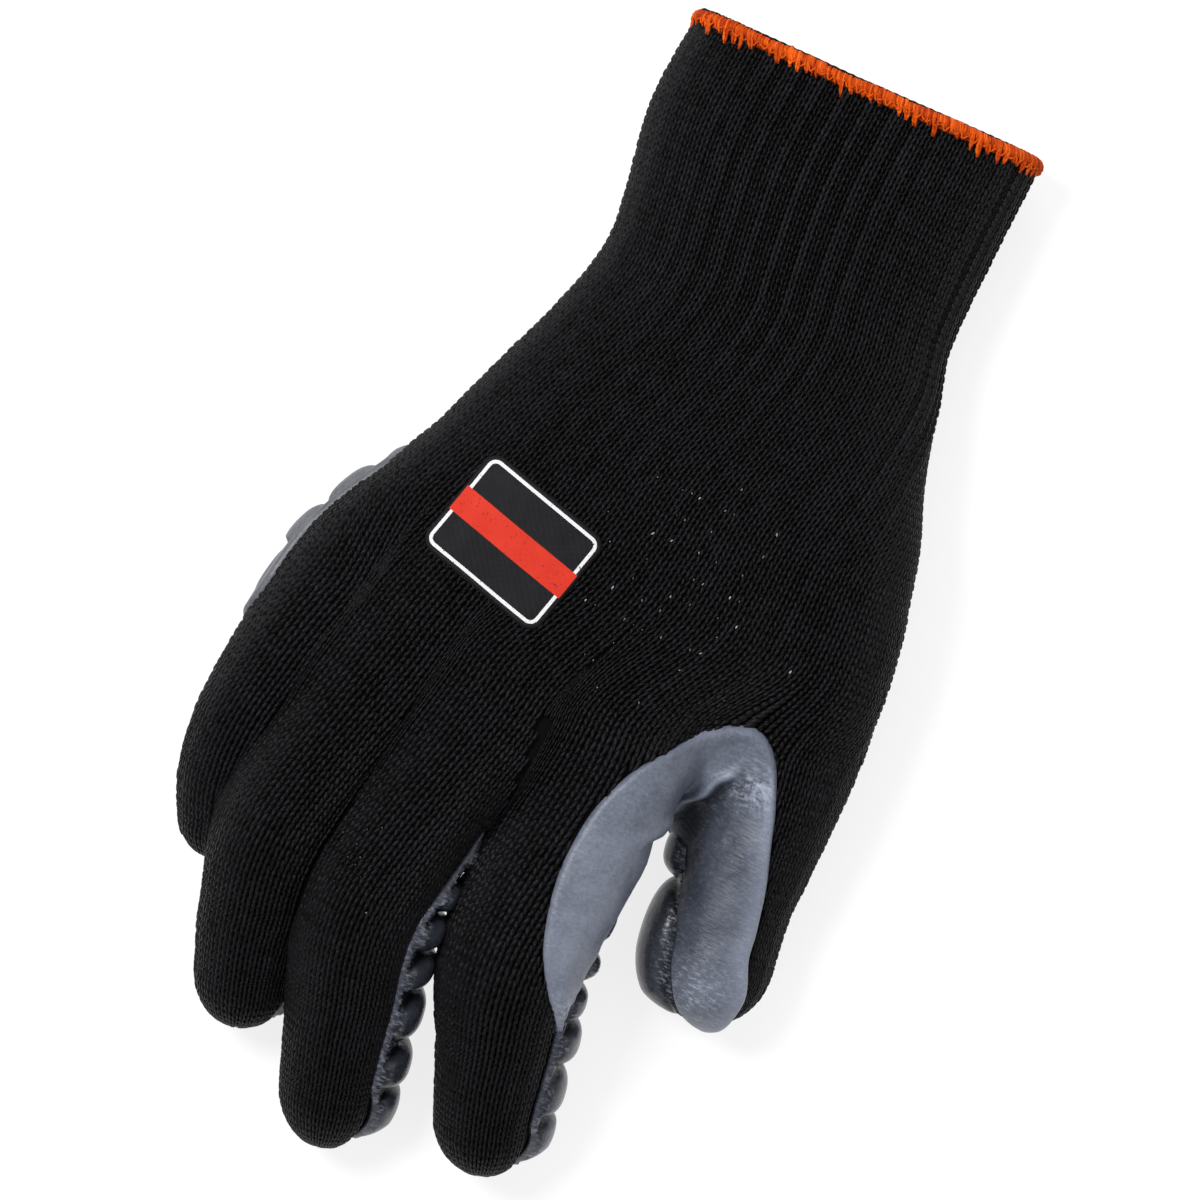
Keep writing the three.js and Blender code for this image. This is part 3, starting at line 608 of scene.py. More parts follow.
def arc_resample(poly, n, weights=None):
    """n + 1 points along an open polyline, at equal arc length or by column weights."""
    s = np.concatenate([[0], np.cumsum(np.linalg.norm(np.diff(poly, axis=0), axis=1))])
    u = np.linspace(0, s[-1], n + 1)
    if weights is not None:
        u = np.concatenate([[0], np.cumsum(weights)]) / np.sum(weights) * s[-1]
    return np.stack([np.interp(u, s, poly[:, k]) for k in range(3)], -1)


# limits of the back of the hand on each ring: the little-finger side and the thumb side
lim_u = np.interp(ROWS_Y, [0, 60, 118], [-4, -4, -8])
lim_t = np.interp(ROWS_Y, [0, 60, 90, 118], [184, 184, 188, 192])
body_back, body_palm = [], []
deg = np.degrees(ang)
for r in range(len(ROWS_Y)):
    P = ring[r]
    ext = np.vstack([P, P, P])
    dd = np.concatenate([deg - 360, deg, deg + 360])
    at = lambda d: np.stack([np.interp(d, dd, ext[:, k]) for k in range(3)], -1)
    open_ = np.clip((ROWS_Y[r] - 46) / 58, 0, 1)
    weights = np.ones(NCOL)
    weights[-GUSSET:] = 0.02 + 0.98 * np.clip(open_ * 1.6 - 0.6 * np.linspace(0, 1, GUSSET), 0, 1) ** 1.2
    body_back.append(arc_resample(at(np.linspace(lim_u[r], lim_t[r], 300)), NCOL, weights))
    body_palm.append(arc_resample(at(np.linspace(lim_t[r], lim_u[r] + 360, 300)), NPALM))
body_back, body_palm = np.array(body_back), np.array(body_palm)
for _ in range(2):  # even the columns out along the hand
    body_back[1:-1] = (body_back[:-2] + body_back[1:-1] * 2 + body_back[2:]) / 4
    body_back[1:-1, :, 1] = ROWS_Y[1:-1, None]
body_back, body_palm = project(body_back, 0.0, 2), project(body_palm, 0.0, 2)

patches = [("back", body_back, False), ("heel", body_palm, True)]


def hermite(p0, p1, d0, d1, n):
    t = np.linspace(0, 1, n)[:, None, None]
    return (2 * t**3 - 3 * t**2 + 1) * p0 + (t**3 - 2 * t**2 + t) * d0 + (-2 * t**3 + 3 * t**2) * p1 + (t**3 - t**2) * d1


SIDE_F, BORDERS = {}, {}
hub, hub_dir = body_back[-1], unit(body_back[-1] - body_back[-4])
col = 0
END_Y = {"pinky": 146, "ring": 150, "middle": 151, "index": 151, "web": 151, "thumb": 138}
ends = {}
for name, n, d0, d1 in GROUPS:
    if name == "web":
        continue
    ch = CH[name]
    t = ch.at_y(END_Y[name])
    ends[name] = (t, np.radians(np.linspace(d0, d1, n + 1)))
    p, _ = ch.surface(t, ends[name][1])
    ends[name + "_p"] = project(p, 0.0, 3)
    ends[name + "_d"] = np.broadcast_to(ch.frame(t)[3], p.shape)
w0, w1 = ends["index_p"][-1], ends["thumb_p"][0]
NWEB = dict((g[0], g[1]) for g in GROUPS)["web"]
t_end = np.linspace(0, 1, NWEB + 1)[:, None]
wp = w0 * (1 - t_end) + w1 * t_end
wp[:, 1] = np.interp(t_end[:, 0], [0, 0.45, 1], [w0[1], 146, w1[1]])
ends["web_p"] = project(wp + [0, 0, 3.0], 0.0, 5)
ends["web_d"] = unit(t_end * ends["thumb_d"][0] + (1 - t_end) * ends["index_d"][0])
for name, n, d0, d1 in GROUPS:
    h = hub[col : col + n + 1]
    hd = hub_dir[col : col + n + 1]
    e, ed = ends[name + "_p"], ends[name + "_d"]
    span = np.linalg.norm(e - h, axis=1, keepdims=True)
    rows = int(round(float(span.mean()) / 1.75)) + 1
    fan = hermite(h, e, hd * span, ed * span, rows)
    fan[1:-1] = project(fan[1:-1], 0.0, 3)
    BORDERS[name] = (fan[:, 0], fan[:, -1])
    if name == "web":
        patches.append(("fan_web", fan, False))
    else:
        ch = CH[name]
        t0, th = ends[name]
        # travel for each row: even spacing over the body, then over the round tip
        body_rows = int(round((ch.T - t0) / 1.78))
        tip_rows = int(round(ch.L * 1.32 / 1.78))
        tt = np.concatenate([np.linspace(t0, ch.T, body_rows + 1), ch.T + ch.L * np.linspace(0, 1, tip_rows + 1)[1:-1], [ch.T + ch.L * 0.965]])
        tail, _ = ch.surface(tt[:, None], th[None, :])
        blend = np.clip((tt - t0) / 26.0, 0, 1)[:, None, None]
        tail_s = project(tail, 0.0, 3)
        shift0 = (e - tail_s[0])[None]
        tail = tail_s + shift0 * (1 - blend)
        patches.append(("fan_" + name, np.concatenate([fan, tail[1:]]), False))
        # the rest of the finger: columns round its sides and palm face
        step = (d1 - d0) / n
        rest = 360 - (d1 - d0)
        k = int(round(rest / step))
        th2 = np.radians(np.linspace(d1, d0 + 360, k + 1))
        sides, _ = ch.surface(tt[:, None], th2[None, :])
        SIDE_F[name] = field((sides[:-1, :-1] + sides[1:, 1:]) / 2)
        moved = project(sides, 0.0, 3, 1.5)
        patches.append(("side_" + name, np.where((np.linalg.norm(moved - sides, axis=-1) < 3.2)[..., None], moved, sides), name))
    col += n


def resample_rows(line, n):
    u = np.linspace(0, len(line) - 1, n)
    return np.stack([np.interp(u, np.arange(len(line)), line[:, k]) for k in range(3)], -1)


# narrow fillings in the valleys where two fingers part
for a_, b_ in zip(ORDER[::-1][:-1], ORDER[::-1][1:]):
    left, right = BORDERS[a_][1], BORDERS[b_][0]
    right = resample_rows(right, len(left))
    fill = np.stack([left + (right - left) * q for q in (0, 0.5, 1)], 1)
    fill[1:] = project(fill[1:], 0.0, 2)
    patches.append(("fan_" + a_, fill, False))
# the heel's columns next to the thumb run on down its outer side
NT = 15
hp, hd = body_palm[-1][: NT + 1], unit(body_palm[-1] - body_palm[-4])[: NT + 1]
t0, _ = ends["thumb"]
thp = np.radians(np.linspace(110, 110 + NT * 6.6, NT + 1))
e, _ = CH["thumb"].surface(t0, thp)
e = project(e, 0.0, 3)
ed = np.broadcast_to(CH["thumb"].frame(t0)[3], e.shape)
span = np.linalg.norm(e - hp, axis=1, keepdims=True)
fan = hermite(hp, e, hd * span, ed * span, int(round(float(span.mean()) / 1.75)) + 1)
fan[1:-1] = project(fan[1:-1], 0.0, 3)
patches.append(("fan_thumb", fan, False))


def leg_template():
    """One leg of a stitch: across, along and height in shares of the column's width, four rings of four."""
    rings = [(0.205, -0.42, 0.02, 0.175, -0.34), (0.228, 0.10, 0.235, 0.240, -0.14), (0.310, 0.58, 0.25, 0.200, -0.34), (0.390, 1.04, 0.00, 0.15, -0.34)]
    v, lay = [], []
    for s, t, h, w, e in rings:
        v += [(s - w, t + 0.06, e), (s - 0.56 * w, t + 0.03, h), (s + 0.46 * w, t - 0.03, h + 0.02), (s + w * 0.9, t - 0.06, -0.26)]
        lay += [t * 1.6 - 0.45, t * 1.6 - 0.15, t * 1.6 + 0.15, t * 1.6 + 0.45]
    f = []
    for i in range(len(rings) - 1):
        for k in range(3):
            a = i * 4 + k
            f.append((a, a + 1, a + 5, a + 4))
    return np.array(v), np.array(f), np.array(lay)


LEG_V, LEG_F, LEG_L = leg_template()
MIR_V = LEG_V * [-1, 1, 1] + [1, 0, 0]
TEMPLATE = np.vstack([LEG_V, MIR_V])
T_FACES = np.vstack([LEG_F[:, ::-1], LEG_F + len(LEG_V)])
T_LAY = np.concatenate([LEG_L, -LEG_L])


def palm_pad_limits(y):
    """Angles round the palm between which the palm rubber lies, for a level y."""
    au = np.interp(y, [76, 79, 84, 92, 100, 108, 114, 118, 150, 157, 161, 166], [-74, -64, -56, -42, -28, -14, -4, 2, 2, 0, -8, -40])
    at = np.interp(y, [76, 79, 84, 92, 110, 132, 140, 150, 160, 166], [234, 222, 212, 206, 203, 203, 207, 211, 222, 250])
    return au, at


def covered(C):
    """True where a stitch lies under the rubber panel between thumb and index finger."""
    web = inside_poly(C[:, :2], WEB_POLY) & (C[:, 2] > np.where(C[:, 1] > 150, 15, 18))
    return web


SPOTS = []


def stitch_piece(names, title):
    V, F, TINT, LAY = [], [], [], []
    base_i = 0
    for pname, G, kind in patches:
        if pname not in names:
            continue
        N = unit(gradient(G, 0.4))
        rows, cols = G.shape[0] - 1, G.shape[1] - 1
        I, J = np.meshgrid(np.arange(rows), np.arange(cols), indexing="ij")
        I, J = I.ravel(), J.ravel()
        C = (G[I, J] + G[I + 1, J + 1]) / 2
        keep = ~covered(C)
        if pname == "heel":
            au, at = palm_pad_limits(C[:, 1])
            px, pz, *_ = palm_at(C[:, 1])
            a = np.degrees(np.arctan2(C[:, 2] - pz, C[:, 0] - px)) % 360
            keep &= ~((C[:, 1] > 83) & (a > at + 4) & (a < au + 360 - 4))
        if pname.startswith("side_"):
            ch = CH[kind]
            keep &= SIDE_F[kind][I, J] > -2.2
            fr, half = PODS[kind][0], PODS[kind][3]
            t = ch.at_y(C[:, 1])
            c, s, k, al, a_, b_ = ch.frame(t)
            d = C - c
            th = np.degrees(np.arctan2((d * k).sum(1), (d * s).sum(1))) % 360
            under = (np.abs(th - 270) < half - 4) & (t > fr + 2)
            keep &= ~under
            lowlim = {"index": 150, "middle": 150, "ring": 148, "pinky": 144, "thumb": 132}[kind]
            keep &= C[:, 1] > lowlim - (2 if kind != "thumb" else -6)
            # under the palm rubber
            px, pz, *_ = palm_at(np.minimum(C[:, 1], 178))
            keep &= ~((C[:, 1] < 158) & (C[:, 2] < pz - 6) & (kind != "thumb"))
        # a stitch is dropped where its cell has closed up, as at a fingertip
        width = np.linalg.norm(G[I, J + 1] - G[I, J], axis=1)
        keep &= width > 0.42
        I, J, C = I[keep], J[keep], C[keep]
        if not len(I):
            continue
        s, t, h = TEMPLATE[:, 0], TEMPLATE[:, 1], TEMPLATE[:, 2]
        n = len(I)
        s = s[None] + rng.normal(0, 0.018, (n, 1))
        t = t[None] + rng.normal(0, 0.025, (n, 1))
        pitch = np.clip((np.linalg.norm(G[I, J + 1] - G[I, J], axis=1) + np.linalg.norm(G[I + 1, J + 1] - G[I + 1, J], axis=1)) / 2, 0.5, 2.4)
        column = rng.normal(0, 0.05, cols)[J]
        fade = np.clip((82 - C[:, 1]) / 36, 0, 1) * (1.0 if pname in ("back", "heel") else 0.0)
        rib = fade * (0.26 * np.where(J % 3 == 0, 1.0, -0.6) + 0.24 * np.sin(J * 1.9))
        hh = h[None] * pitch[:, None] * (1 + rng.normal(0, 0.10, (n, 1))) + (column + rib - 0.30)[:, None]
        w = [(1 - s) * (1 - t), s * (1 - t), (1 - s) * t, s * t]
        P = sum(wk[..., None] * g[:, None, :] for wk, g in zip(w, (G[I, J], G[I, J + 1], G[I + 1, J], G[I + 1, J + 1])))
        Nn = unit(N[I, J] + N[I, J + 1] + N[I + 1, J] + N[I + 1, J + 1])
        P = P + Nn[:, None, :] * hh[..., None]
        # painted light and shade: the cuff rib's raised columns are coloured lighter and its sunken ones darker
        tint = rng.normal(0.0, 0.07, n) + rng.normal(0, 0.045, cols)[J] + 0.55 * rib
        V.append(P.reshape(-1, 3))
        m = len(TEMPLATE)
        F.append((T_FACES[None] + (base_i + np.arange(n) * m)[:, None, None]).reshape(-1, 4))
        TINT.append(np.repeat(tint, m))
        LAY.append(np.tile(T_LAY, n) * 1.0 + np.repeat(rng.random(n), m))
        base_i += n * m
        SPOTS.append((pname, I, J, C, Nn, np.stack([G[I, J + 1] - G[I, J], G[I + 1, J] - G[I, J]], 1)))
    V, F = np.vstack(V), np.vstack(F)
    V[:, 2] = np.maximum(V[:, 2], 0.04)
    ob = make(title, V, [F], material=M_YARN, attrs={"tint": np.concatenate(TINT), "lay": np.concatenate(LAY)})
    print("STITCHES", title, len(F) // (2 * len(LEG_F)), "tris", len(F) * 2)
    return ob


stitch_piece(["back"], "stitches_back")
stitch_piece(["heel"], "stitches_heel")
stitch_piece(["fan_pinky", "fan_ring", "side_pinky", "side_ring"], "stitches_outer_fingers")
stitch_piece(["fan_middle", "fan_index", "side_middle", "side_index"], "stitches_inner_fingers")
stitch_piece(["fan_web", "fan_thumb", "side_thumb"], "stitches_thumb")


# pale filling yarn that shows between stitches, in short runs of three along a row, and a few pale specks as painted
# highlights on the middle finger's knuckle
def pale_specks():
    cen, nrm, ax = [], [], []
    for pname, I, J, C, Nn, E in SPOTS:
        if pname not in ("back", "fan_index", "fan_middle", "fan_ring", "fan_web"):
            continue
        zone = np.exp(-(((C[:, 0] + 7) / 17) ** 2) - (((C[:, 1] - 112) / 18) ** 2))
        pick = (I % 3 == 1) & (J % 5 < 3) & (rng.random(len(I)) < np.clip(zone * 1.15, 0, 0.72))
        # painted highlights: a few pale specks over the middle finger's knuckle stand in for glints on the stretched
        # yarn
        pick |= rng.random(len(I)) < 0.25 * np.exp(-(((C[:, 0] - 26) / 5) ** 2) - (((C[:, 1] - 195) / 7) ** 2))
        at = C + E[:, 0] * 0.5 + E[:, 1] * rng.normal(0.1, 0.08, (len(I), 1))
        cen.append(at[pick])
        nrm.append(Nn[pick])
        ax.append(unit(E[:, 1] + E[:, 0] * rng.normal(0, 0.35, (len(I), 1)))[pick])
    cen, nrm, ax = np.vstack(cen), np.vstack(nrm), np.vstack(ax)
    cross = unit(np.cross(nrm, ax))
    n = len(cen)
    size = np.clip(rng.normal(0.74, 0.22, (n, 1, 1)), 0.35, 1.15)
    size = np.where(cen[:, 1, None, None] > 165, size * 0.6, size)
    prof = [(-0.42, 0.0), (-0.2, 0.17), (0.12, 0.19), (0.42, 0.0)]
    ph = np.linspace(0, 2 * np.pi, 6, endpoint=False)
    rings = []
    for along_, r in prof:
        r = max(r, 0.02)
        rings.append(cen[:, None] + size * (ax[:, None] * along_ + cross[:, None] * (np.cos(ph) * r)[None, :, None] + nrm[:, None] * (np.sin(ph) * r + 0.05)[None, :, None]))
    V = np.concatenate(rings, 1)
    f = np.vstack([grid_faces(4, 6, 0, True)])
    F = (f[None] + (np.arange(n) * 24)[:, None, None]).reshape(-1, 4)
    cap = np.concatenate([np.arange(n)[:, None] * 24 + np.arange(6)[None, ::-1], np.arange(n)[:, None] * 24 + 18 + np.arange(6)[None]])
    make("pale_filling_yarn_and_glints", V.reshape(-1, 3), [F, cap], material=yarn_material("pale_yarn", (0.10, 0.10, 0.10), (0.46, 0.46, 0.44), sheen=0.0, rough=0.6),
         attrs={"tint": np.repeat(rng.normal(0, 0.22, n), 24), "lay": np.zeros(n * 24)})


pale_specks()


# ------------------------------------------------------------------ rubber: fingers and thumb
def pillow(x, y, power=2.8, round_=0.62):
    """Height 0..1 of an air pod over the square from -1 to 1."""
    r = (np.abs(x) ** power + np.abs(y) ** power) ** (1 / power)
    return np.clip(1 - r**2.6, 0, 1) ** round_


def finger_pad(name):
    ch = CH[name]
    start_t, count, last, half, height = PODS[name]
    end = ch.T + ch.L * (0.72 if name == "thumb" else 0.60)
    tot = end + 0.8
    if name == "thumb":
        start_t = tot - last - (count - 1) * 11.6
    pitch = (tot - start_t - last) / (count - 1)
    nt = int((end - start_t) / 0.5)
    nth = int(np.radians(half * 2) * 13.5 / 0.62)
    t = np.linspace(start_t - 1.2, end, nt)
    # half angles on the thumb side and on the other side, for each row
    grow = np.interp(t - start_t, [0, 8, 26], [0.80, 0.86, 1.0])
    h_low, h_high = half * grow, half * grow
    if name == "index":
        h_low = np.interp(ch.c[np.searchsorted(ch.t, np.clip(t, 0, ch.T - 0.1)), 1] + np.maximum(t - ch.T, 0), [150, 187, 194, 200.5, 207, 213.5, 219], [52, 54, 58, 63, 69, 74, 73])
    if name == "thumb":
        h_low, h_high = half * np.ones(nt), np.interp(ch.c[np.searchsorted(ch.t, np.clip(t, 0, ch.T - 0.1)), 1], [161, 165.5, 170.5, 175.5, 180.5], [36, 40, 46, 52, 57])
    taper = np.clip((end - t) / (0.9 * ch.L), 0, 1) ** 0.6
    h_low, h_high = h_low * (0.45 + 0.55 * taper), h_high * (1 if name == "thumb" else (0.45 + 0.55 * taper))
    q = np.linspace(-1, 1, nth)[None, :]
    TH = np.radians(270 + np.where(q < 0, q * h_low[:, None], q * h_high[:, None]))
    T = t[:, None] * np.ones((1, nth))
    HALF = np.where(q < 0, h_low[:, None], h_high[:, None])
    ADEG = np.abs(q) * HALF
    k = np.clip(np.floor((T - start_t) / pitch), 0, count - 1)
    length = np.where(k == count - 1, last, pitch)
    y = np.clip((T - start_t - k * pitch) / length * 2 - 1, -1.2, 1.0)
    x = q * HALF / (HALF - 2.2)
    tipfade = np.clip((end - T) / 7.0, 0, 1)
    h = pillow(x, y * 0.985) * height
    jit = np.array([rng.normal(0, 0.05) for _ in range(count)])[k.astype(int)]
    h = h * (1 + jit)
    # crinkled flange along both edges
    edge = np.clip((ADEG - (HALF - 8)) / 8, 0, 1)
    flange = 1.0 + (0.34 * np.sin(T * 2.3 + 3 * np.sin(T * 0.7)) + 0.26 * np.sin(T * 5.1 + ADEG * 0.25) + 0.16 * np.sin(T * 9.7 - ADEG * 0.4)) * edge
    rise = np.clip((HALF - ADEG) / 3.0, 0, 1) ** 0.5
    endrise = np.clip((T - (start_t - 1.2)) / 1.0, 0, 1) ** 0.5 * np.clip((end - T) / 1.2, 0, 1) ** 0.5
    off = (0.15 + flange * rise * endrise) + h * np.clip(tipfade * 1.4, 0, 1) ** 0.8
    P, N = ch.surface(T, TH, off)
    qi = np.linspace(-1, 1, 13)[None, :]
    inner, _ = ch.surface(t[:, None] * np.ones((1, 13)), np.radians(270 + np.where(qi < 0, qi * h_low[:, None], qi * h_high[:, None])), -0.55)
    P[..., 2] = np.maximum(P[..., 2], 0.0)
    inner[..., 2] = np.maximum(inner[..., 2], 0.3)
    v, f = pad_mesh(P[:, ::-1], 1, inner[:, ::-1])
    # painted shade: colour darkened low between the pods, less at the very edge of the sheet
    low = np.clip(1 - h / (0.55 * height), 0, 1) * (1 - 0.8 * np.clip((ADEG - (HALF - 3)) / 2, 0, 1)) * 0.95
    low = np.concatenate([low[:, ::-1].ravel(), np.zeros(inner.shape[0] * inner.shape[1])])
    # painted highlight: a lighter, broken band along the crinkled flange near both edges (none on the thumb)
    rim = np.clip((ADEG - (HALF - 5)) / 3, 0, 1) * (0.45 + 0.55 * np.sin(T * 3.7 + ADEG) * np.sin(T * 1.3)) * np.clip((T - start_t) / 3, 0, 1)
    rim = np.clip(rim, 0, 1) * (0.0 if name == "thumb" else 0.7)
    # painted glints: pale spots along the flange and on the tops of the pods
    painted_glint = np.clip(1.2 - np.abs(ADEG - (HALF - 4)) / 6, 0, 1) * 0.6 + 0.10 * (h > 0.5 * height)
    painted_glint = np.concatenate([np.clip(painted_glint, 0, 1)[:, ::-1].ravel(), np.zeros(inner.shape[0] * inner.shape[1])])
    rim = np.concatenate([rim[:, ::-1].ravel(), np.zeros(inner.shape[0] * inner.shape[1])])
    ob = make(name + "_air_pods", v, f, material=M_POD, replaces=[name + "_pad"], attrs={"low": low, "rim": rim, "painted_glint": painted_glint})
    return ob


for nm in FINGERS:
    finger_pad(nm)

# ------------------------------------------------------------------ rubber: palm
yr = np.arange(78.0, 163.0, 0.62)
nu = 190
au, at_ = palm_pad_limits(yr)
cxp, czp, *_ = palm_at(yr)
alpha = np.radians(np.linspace(0, 1, 220)[None, :] * (au + 360 - at_)[:, None] + at_[:, None])
dr = np.stack([np.cos(alpha), np.zeros_like(alpha), np.sin(alpha)], -1)
st = np.stack([cxp, yr, czp], -1)[:, None, :] + dr * 70
coarse_rows = np.linspace(0, len(yr) - 1, 46)
ci = np.round(coarse_rows).astype(int)
hit = trace(st[ci], -dr[ci], 0.0, 26, 66)
full = np.empty(st.shape)
for k in range(3):
    for j in range(full.shape[1]):
        full[:, j, k] = np.interp(np.arange(len(yr)), ci, hit[:, j, k])
rows_u, arcs = [], []
for r in range(len(yr)):
    p = full[r]
    s = np.concatenate([[0], np.cumsum(np.linalg.norm(np.diff(p, axis=0), axis=1))])
    u = np.linspace(0, s[-1], nu)
    rows_u.append(np.stack([np.interp(u, s, p[:, k]) for k in range(3)], -1))
    a_axis = np.interp(270.0, np.degrees(alpha[r]), s)
    arcs.append(u - a_axis)
PB, ARC = np.array(rows_u), np.array(arcs)
PB = project(PB, 0.0, 2)
PN = unit(gradient(PB, 0.5))
# the sheet bridges the small hollows of the palm
SM = PB.copy()
for _ in range(170):
    SM[1:-1, 1:-1] += 0.2 * (SM[:-2, 1:-1] + SM[2:, 1:-1] + SM[1:-1, :-2] + SM[1:-1, 2:] - 4 * SM[1:-1, 1:-1])
for _ in range(90):
    PN[1:-1, 1:-1] += 0.2 * (PN[:-2, 1:-1] + PN[2:, 1:-1] + PN[1:-1, :-2] + PN[1:-1, 2:] - 4 * PN[1:-1, 1:-1])
PN = unit(PN)
PB = PB + PN * np.clip(((SM - PB) * PN).sum(-1), 0, 2.5)[..., None]
YY = PB[..., 1]
H = np.zeros(YY.shape)
for j in range(6):
    yc = 86 + 12.4 * j
    for i in range(-4, 4):
        ac = i * 13.2 + 6.6 + (j % 2) * 0.0
        jx, jy = rng.normal(0, 0.15, 2)
        H = np.maximum(H, pillow((ARC - ac - jx) / 6.0, (YY - yc - jy) / 5.7) * 4.0)
# edge pods past the little-finger side, clear of the palm's own
rows_e = [np.argmin(np.abs(yr - q)) for q in (110.0, 126.0, 149.0)]
ac_e = [np.interp(-7 + 360, np.degrees(alpha[q]), np.concatenate([[0], np.cumsum(np.linalg.norm(np.diff(full[q], axis=0), axis=1))])) + ARC[q][0] for q in rows_e]
H = np.where((YY > 108.5) & (YY < 156) & (ARC > np.interp(YY, [110.0, 126.0, 149.0], ac_e) - 7.4), 0, H)
for yc, aa, tall in ((115.6, -9, 0.9), (126.0, -7, 2.2), (137.8, -7, 2.1), (149.0, -9, 0.6)):
    row = np.argmin(np.abs(yr - yc))
    ac = np.interp(aa + 360, np.degrees(alpha[row]), np.concatenate([[0], np.cumsum(np.linalg.norm(np.diff(full[row], axis=0), axis=1))])) - np.interp(270.0, np.degrees(alpha[row]), np.concatenate([[0], np.cumsum(np.linalg.norm(np.diff(full[row], axis=0), axis=1))]))
    near = (np.abs(YY - yc) < 6.6) & (np.abs(ARC - ac) < 9)
    H = np.where(near & (np.abs(ARC - ac) < 7.2), 0, H)
    H = np.maximum(H, pillow((ARC - ac) / 6.8, (YY - yc) / 6.1) * tall)
edge_u = np.minimum(np.arange(nu)[None, :], np.arange(nu)[None, ::-1] + 0.0) * np.ones((len(yr), 1))
du = np.linalg.norm(np.diff(PB, axis=1), axis=-1).mean(1)
edge_mm = np.minimum(edge_u * du[:, None], np.minimum(YY - 78.0, 162.8 - YY))
rise = np.clip(edge_mm / 0.7, 0, 1) ** 0.5
H = H * np.clip((edge_mm - 0.2) / 1.2, 0, 1)
P = PB + PN * (0.12 + 1.0 * rise + H)[..., None]
P[..., 2] = np.maximum(P[..., 2], 0.0)
inn = (PB - PN * 0.5)[:, :: (nu - 1) // 21]
if inn.shape[1] * ((nu - 1) // 21) < nu:
    inn = np.concatenate([inn, (PB - PN * 0.5)[:, -1:]], 1)
inn[..., 2] = np.maximum(inn[..., 2], 0.3)
v, f = pad_mesh(P, 1, inn)
# painted shade: colour darkened low between the palm's pods, fading out near the sheet's edge
low = np.clip(1 - H / 1.8, 0, 1) * np.clip(edge_mm / 6, 0, 1) * 0.6
palm_ob = make("palm_air_pods", v, f, material=M_PALM, replaces=["palm_pad"],
               attrs={"low": np.concatenate([low.ravel(), np.zeros(inn.shape[0] * inn.shape[1])])})

# ------------------------------------------------------------------ rubber: smooth panel between thumb and index finger
def top_of(x, y):
    x, y = np.asarray(x, float), np.asarray(y, float)
    return trace(np.stack([x, y, np.full(x.shape, 58.0)], -1), [0, 0, -1], 0.0, 34, 60)


ti, tt_ = CH["index"], CH["thumb"]
out_keys, mid_keys, in_keys = [], [], []


def angle_of(ch, p, t=None):
    t = ch.at_y(p[1]) if t is None else t
    c, s, k, al, a, b = ch.frame(t)
    d = p - c
    return math.atan2(float((d @ k) / b), float((d @ s) / a))


# down the index finger
for (x, y), yi, ain in zip(WEB_OUT[:8],
                           [213.5, 207, 200.5, 194, 187, 180.5, 174, 168.5], [196, 201, 206, 211, 215, 218, 223, 232]):
    o = top_of(x, y)
    a0 = angle_of(ti, o)
    if a0 < 0:
        a0 += 2 * math.pi
    a1 = math.radians(ain)
    mid, _ = ti.surface(ti.at_y((y + yi) / 2), (a0 + a1) / 2)
    inn_, _ = ti.surface(ti.at_y(yi), a1)
    out_keys.append(o)
    mid_keys.append(mid)
    in_keys.append(inn_)
# round the crotch
for (x, y), top_mid, low_in in zip(WEB_OUT[8:12], [(-27.2, 154.0, 30.0), (-30.2, 152.2, 27.0), (-34.6, 151.6, 26.0), (-39.2, 153.0, 27.0)],
                                   [(-27.2, 163.4, 19.0), (-29.0, 162.0, 12.0), (-31.8, 163.6, 11.0), (-34.8, 166.2, 14.0)]):
    out_keys.append(top_of(x, y))
    mid_keys.append(project(np.array(top_mid), 0.0, 6))
    in_keys.append(project(np.array(low_in), 0.0, 6))
# up the thumb
for (x, y), yi, ain in zip(WEB_OUT[12:], [168.5, 171.5, 175, 178.5, 182], [-52, -49, -44, -39, -34]):
    o = top_of(x, y)
    a0 = angle_of(tt_, o)
    a1 = math.radians(ain)
    mid, _ = tt_.surface(tt_.at_y((y + yi) / 2), (a0 + a1) / 2)
    inn_, _ = tt_.surface(tt_.at_y(yi), a1)
    out_keys.append(o)
    mid_keys.append(mid)
    in_keys.append(inn_)
# over the tip of the thumb
for fr, outer_deg in ((0.24, 58), (0.44, 60), (0.62, 66), (0.78, 80), (0.90, 104), (0.975, 130)):
    for keys, dg in ((out_keys, outer_deg), (mid_keys, (outer_deg - 31) / 2), (in_keys, -31)):
        p, _ = tt_.surface(tt_.T + tt_.L * fr, math.radians(dg))
        keys.append(p)


def run(keys, s_keys, s):
    keys = np.array(keys)
    u = np.interp(s, s_keys, np.arange(len(s_keys)))
    return np.stack([spline(keys[:, k], u) for k in range(3)], -1)


mk = np.array(mid_keys)
ok = np.array(out_keys)
sk = np.concatenate([[0], np.cumsum(np.linalg.norm(np.diff((mk + ok) / 2, axis=0), axis=1))])
ns, nv = int(sk[-1] / 0.62), 62
s = np.linspace(0, sk[-1], ns)
EO, EM, EI = (run(k, sk, s) for k in (out_keys, mid_keys, in_keys))
vv = np.linspace(0, 1, nv)[None, :, None]
W = EO[:, None] * (2 * (vv - 0.5) * (vv - 1)) + EM[:, None] * (4 * vv * (1 - vv)) + EI[:, None] * (2 * vv * (vv - 0.5))
W = project(W, 0.0, 5, 3.0)
WN = unit(gradient(W, 0.6))
across = np.linalg.norm(np.diff(W, axis=1), axis=-1).sum(1)
vmm = np.cumsum(np.concatenate([np.zeros((ns, 1)), np.linalg.norm(np.diff(W, axis=1), axis=-1)], 1), 1)
rest_mm = vmm[:, -1:] - vmm
smm = s[:, None] * np.ones((1, nv))
endmm = np.minimum(smm, sk[-1] - smm)
